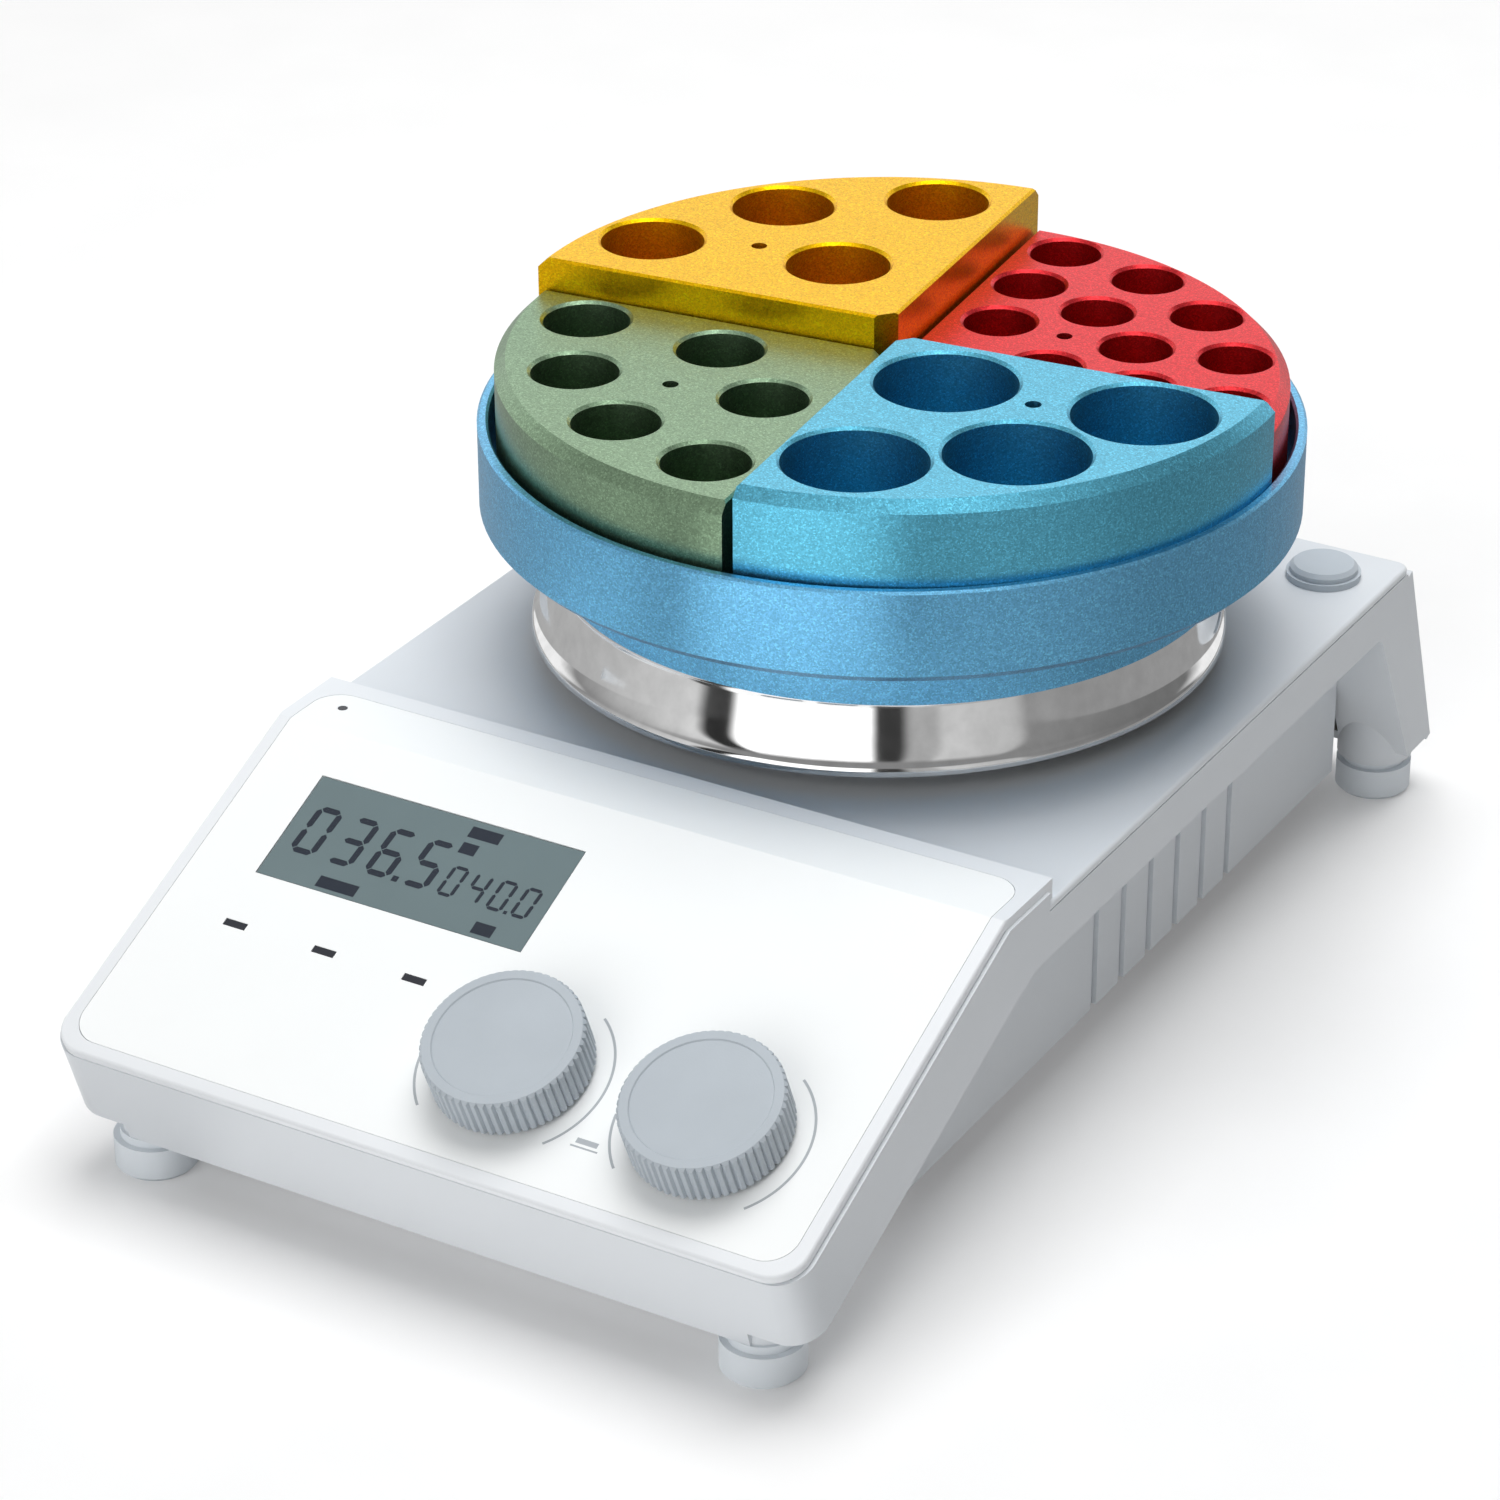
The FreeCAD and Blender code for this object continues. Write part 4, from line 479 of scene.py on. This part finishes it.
# Camera at the photograph's place
PHOTO = 1500
FOCAL = 4891.8
AIM = (747.48, 757.35)
SENSOR = 36
CAMERA_PLACE = (0.42319, -0.73333, 0.50164)
azimuth, elevation, roll = (math.radians(angle) for angle in (30.520, 28.239, -0.202))
back = Vector((math.sin(azimuth) * math.cos(elevation), -math.cos(azimuth) * math.cos(elevation),
               math.sin(elevation)))
right = Vector((math.cos(azimuth), math.sin(azimuth), 0))
up = back.cross(right)
side_axis = math.cos(roll) * right + math.sin(roll) * up
top_axis = math.cos(roll) * up - math.sin(roll) * right
lens = bpy.data.cameras.new("photo_camera")
lens.sensor_width = SENSOR
lens.lens = FOCAL * SENSOR / PHOTO
lens.shift_x = (PHOTO / 2 - AIM[0]) / PHOTO
lens.shift_y = (AIM[1] - PHOTO / 2) / PHOTO
lens.clip_start = 0.05
lens.clip_end = 50
camera = bpy.data.objects.new("photo_camera", lens)
turned = Matrix((side_axis, top_axis, back)).transposed()
camera.matrix_world = Matrix.Translation(CAMERA_PLACE) @ turned.to_4x4()
bpy.context.scene.collection.objects.link(camera)
bpy.context.scene.camera = camera


# Studio: a white floor that keeps the shadow, and soft surroundings, brightest at the left front
def ray_is(tree, *kinds):
    """One where the ray is of one of these kinds, else zero."""
    path = tree.nodes.new("ShaderNodeLightPath")
    total = path.outputs[kinds[0]]
    for kind in kinds[1:]:
        either = tree.nodes.new("ShaderNodeMath")
        either.operation = "MAXIMUM"
        tree.links.new(total, either.inputs[0])
        tree.links.new(path.outputs[kind], either.inputs[1])
        total = either.outputs["Value"]
    return total


def blend_of(tree, factor, first, second):
    """The first value or socket where the factor is zero, the second where it is one."""
    mix = tree.nodes.new("ShaderNodeMix")
    mix.data_type = "RGBA"
    tree.links.new(factor, mix.inputs["Factor"])
    for socket, given in ((mix.inputs["A"], first), (mix.inputs["B"], second)):
        if isinstance(given, float):
            socket.default_value = (given, given, given, 1)
        else:
            tree.links.new(given, socket)
    return mix.outputs["Result"]


def by_heading(tree, place, levels):
    """Grey levels by the direction round the hot plate, in degrees counted from the camera's side."""
    spun = tree.nodes.new("ShaderNodeMapping")
    spun.inputs["Rotation"].default_value = (0, 0, math.pi / 2 - azimuth)
    tree.links.new(place, spun.inputs["Vector"])
    split = tree.nodes.new("ShaderNodeSeparateXYZ")
    tree.links.new(spun.outputs["Vector"], split.inputs["Vector"])
    heading = tree.nodes.new("ShaderNodeMath")
    heading.operation = "ARCTAN2"
    tree.links.new(split.outputs["Y"], heading.inputs[0])
    tree.links.new(split.outputs["X"], heading.inputs[1])
    share = tree.nodes.new("ShaderNodeMapRange")
    share.inputs["From Min"].default_value = -math.pi
    share.inputs["From Max"].default_value = math.pi
    tree.links.new(heading.outputs["Value"], share.inputs["Value"])
    stops = [((turn + 180) / 360, (level, level, level, 1)) for turn, level in levels]
    return ramp(tree, share.outputs["Result"], stops)


# Levels by heading: what mirrors see above the horizon, the painted reflection that the floor glows with
# in mirrors only, and where soft light comes from
MIRRORED_SKY = [(-180, 1.1), (-125, 1.1), (-115, 0.30), (-104, 0.42), (-62, 0.84), (-58, 0.03),
                (-50, 0.03), (-47, 1.9), (-4, 1.9), (-2, 0.05), (6, 0.05), (9, 0.50), (17, 0.50),
                (20, 0.75), (44, 0.60), (48, 0.30), (100, 0.20), (115, 0.20), (125, 1.1), (180, 1.1)]
FLOOR_PAINTED_REFLECTION = [(-180, 0.42), (-104, 0.55), (-62, 0.80), (-58, 0.08), (-50, 0.08), (-47, 1.35),
                  (-4, 1.35), (-2, 0.12), (6, 0.12), (9, 0.60), (44, 0.50), (60, 0.35), (180, 0.42)]
SOFT_SKY = [(-180, 0.6), (-108, 0.6), (-100, 0.3), (-63, 0.3), (-57, 2.1), (-12, 2.1), (-4, 0.1),
            (100, 0.1), (108, 0.6), (180, 0.6)]
MIRRORED_CEILING = 0.3
SOFT_CEILING = 0.1
CEILING_RISE = (0.62, 0.78)
FLOOR_DARK = (0.84, 0.84, 0.84, 1)
FLOOR_PALE = (0.86, 0.86, 0.86, 1)
FLOOR_GLOW = 0.12
FLOOR_SIZE = 6
PLATE_MIDDLE = (0, 0.0364, 0)

floor_data = bpy.data.meshes.new("floor")
floor_mesh = bmesh.new()
bmesh.ops.create_grid(floor_mesh, x_segments=1, y_segments=1, size=FLOOR_SIZE)
floor_mesh.to_mesh(floor_data)
floor_mesh.free()
floor = bpy.data.objects.new("floor", floor_data)
bpy.context.scene.collection.objects.link(floor)
floor_paint, floor_tree, floor_shader, floor_place = start_material("floor_paper")
floor_cloud = noise(floor_tree, floor_place, scale=30)
floor_tint = ramp(floor_tree, floor_cloud, [(0.3, FLOOR_DARK), (0.7, FLOOR_PALE)])
floor_mirrored = ray_is(floor_tree, "Is Glossy Ray")
floor_base = blend_of(floor_tree, floor_mirrored, floor_tint, 0.0)
floor_tree.links.new(floor_base, floor_shader.inputs["Base Color"])
floor_shader.inputs["Roughness"].default_value = 1.0
floor_shader.inputs["Specular IOR Level"].default_value = 0.0
from_plate = floor_tree.nodes.new("ShaderNodeVectorMath")
from_plate.operation = "SUBTRACT"
from_plate.inputs[1].default_value = PLATE_MIDDLE
floor_tree.links.new(floor_place, from_plate.inputs[0])
# Painted reflection: in mirrors the floor shows no lit surface but glows with these levels, with a
# bright pool in front among them
floor_painted_reflection = by_heading(floor_tree, from_plate.outputs["Vector"], FLOOR_PAINTED_REFLECTION)
floor_direct = ray_is(floor_tree, "Is Camera Ray", "Is Transmission Ray")
floor_seen = blend_of(floor_tree, floor_direct, 0.0, FLOOR_GLOW)
floor_glow = blend_of(floor_tree, floor_mirrored, floor_seen, floor_painted_reflection)
floor_tree.links.new(floor_glow, floor_shader.inputs["Emission Color"])
floor_shader.inputs["Emission Strength"].default_value = 1.0
floor_data.materials.append(floor_paint)

world = bpy.data.worlds.new("studio")
bpy.context.scene.world = world
world.use_nodes = True
air = world.node_tree
sky = air.nodes["Background"]
facing = air.nodes.new("ShaderNodeTexCoord").outputs["Generated"]
height = air.nodes.new("ShaderNodeSeparateXYZ")
air.links.new(facing, height.inputs["Vector"])
ceiling = air.nodes.new("ShaderNodeMapRange")
ceiling.inputs["From Min"].default_value = CEILING_RISE[0]
ceiling.inputs["From Max"].default_value = CEILING_RISE[1]
air.links.new(height.outputs["Z"], ceiling.inputs["Value"])
overhead = ceiling.outputs["Result"]
mirrored_air = blend_of(air, overhead, by_heading(air, facing, MIRRORED_SKY), MIRRORED_CEILING)
soft_air = blend_of(air, overhead, by_heading(air, facing, SOFT_SKY), SOFT_CEILING)
around = blend_of(air, ray_is(air, "Is Glossy Ray"), soft_air, mirrored_air)
shown = blend_of(air, ray_is(air, "Is Camera Ray", "Is Transmission Ray"), around, 1.0)
air.links.new(shown, sky.inputs["Color"])

# One broad lamp overhead
LAMP_PLACE = Vector((0.0, 0.2, 1.45))
LAMP_AIM = Vector((0, 0, 0.06))
LAMP_WIDTH = 1.1
LAMP_WATTS = 18.5
light = bpy.data.lights.new("top_lamp", "AREA")
light.shape = "RECTANGLE"
light.size = LAMP_WIDTH
light.size_y = LAMP_WIDTH
light.energy = LAMP_WATTS
lamp = bpy.data.objects.new("top_lamp", light)
lamp.location = LAMP_PLACE
lamp.rotation_euler = (LAMP_AIM - LAMP_PLACE).to_track_quat("-Z", "Y").to_euler()
bpy.context.scene.collection.objects.link(lamp)

view = bpy.context.scene.view_settings
view.view_transform = "Standard"
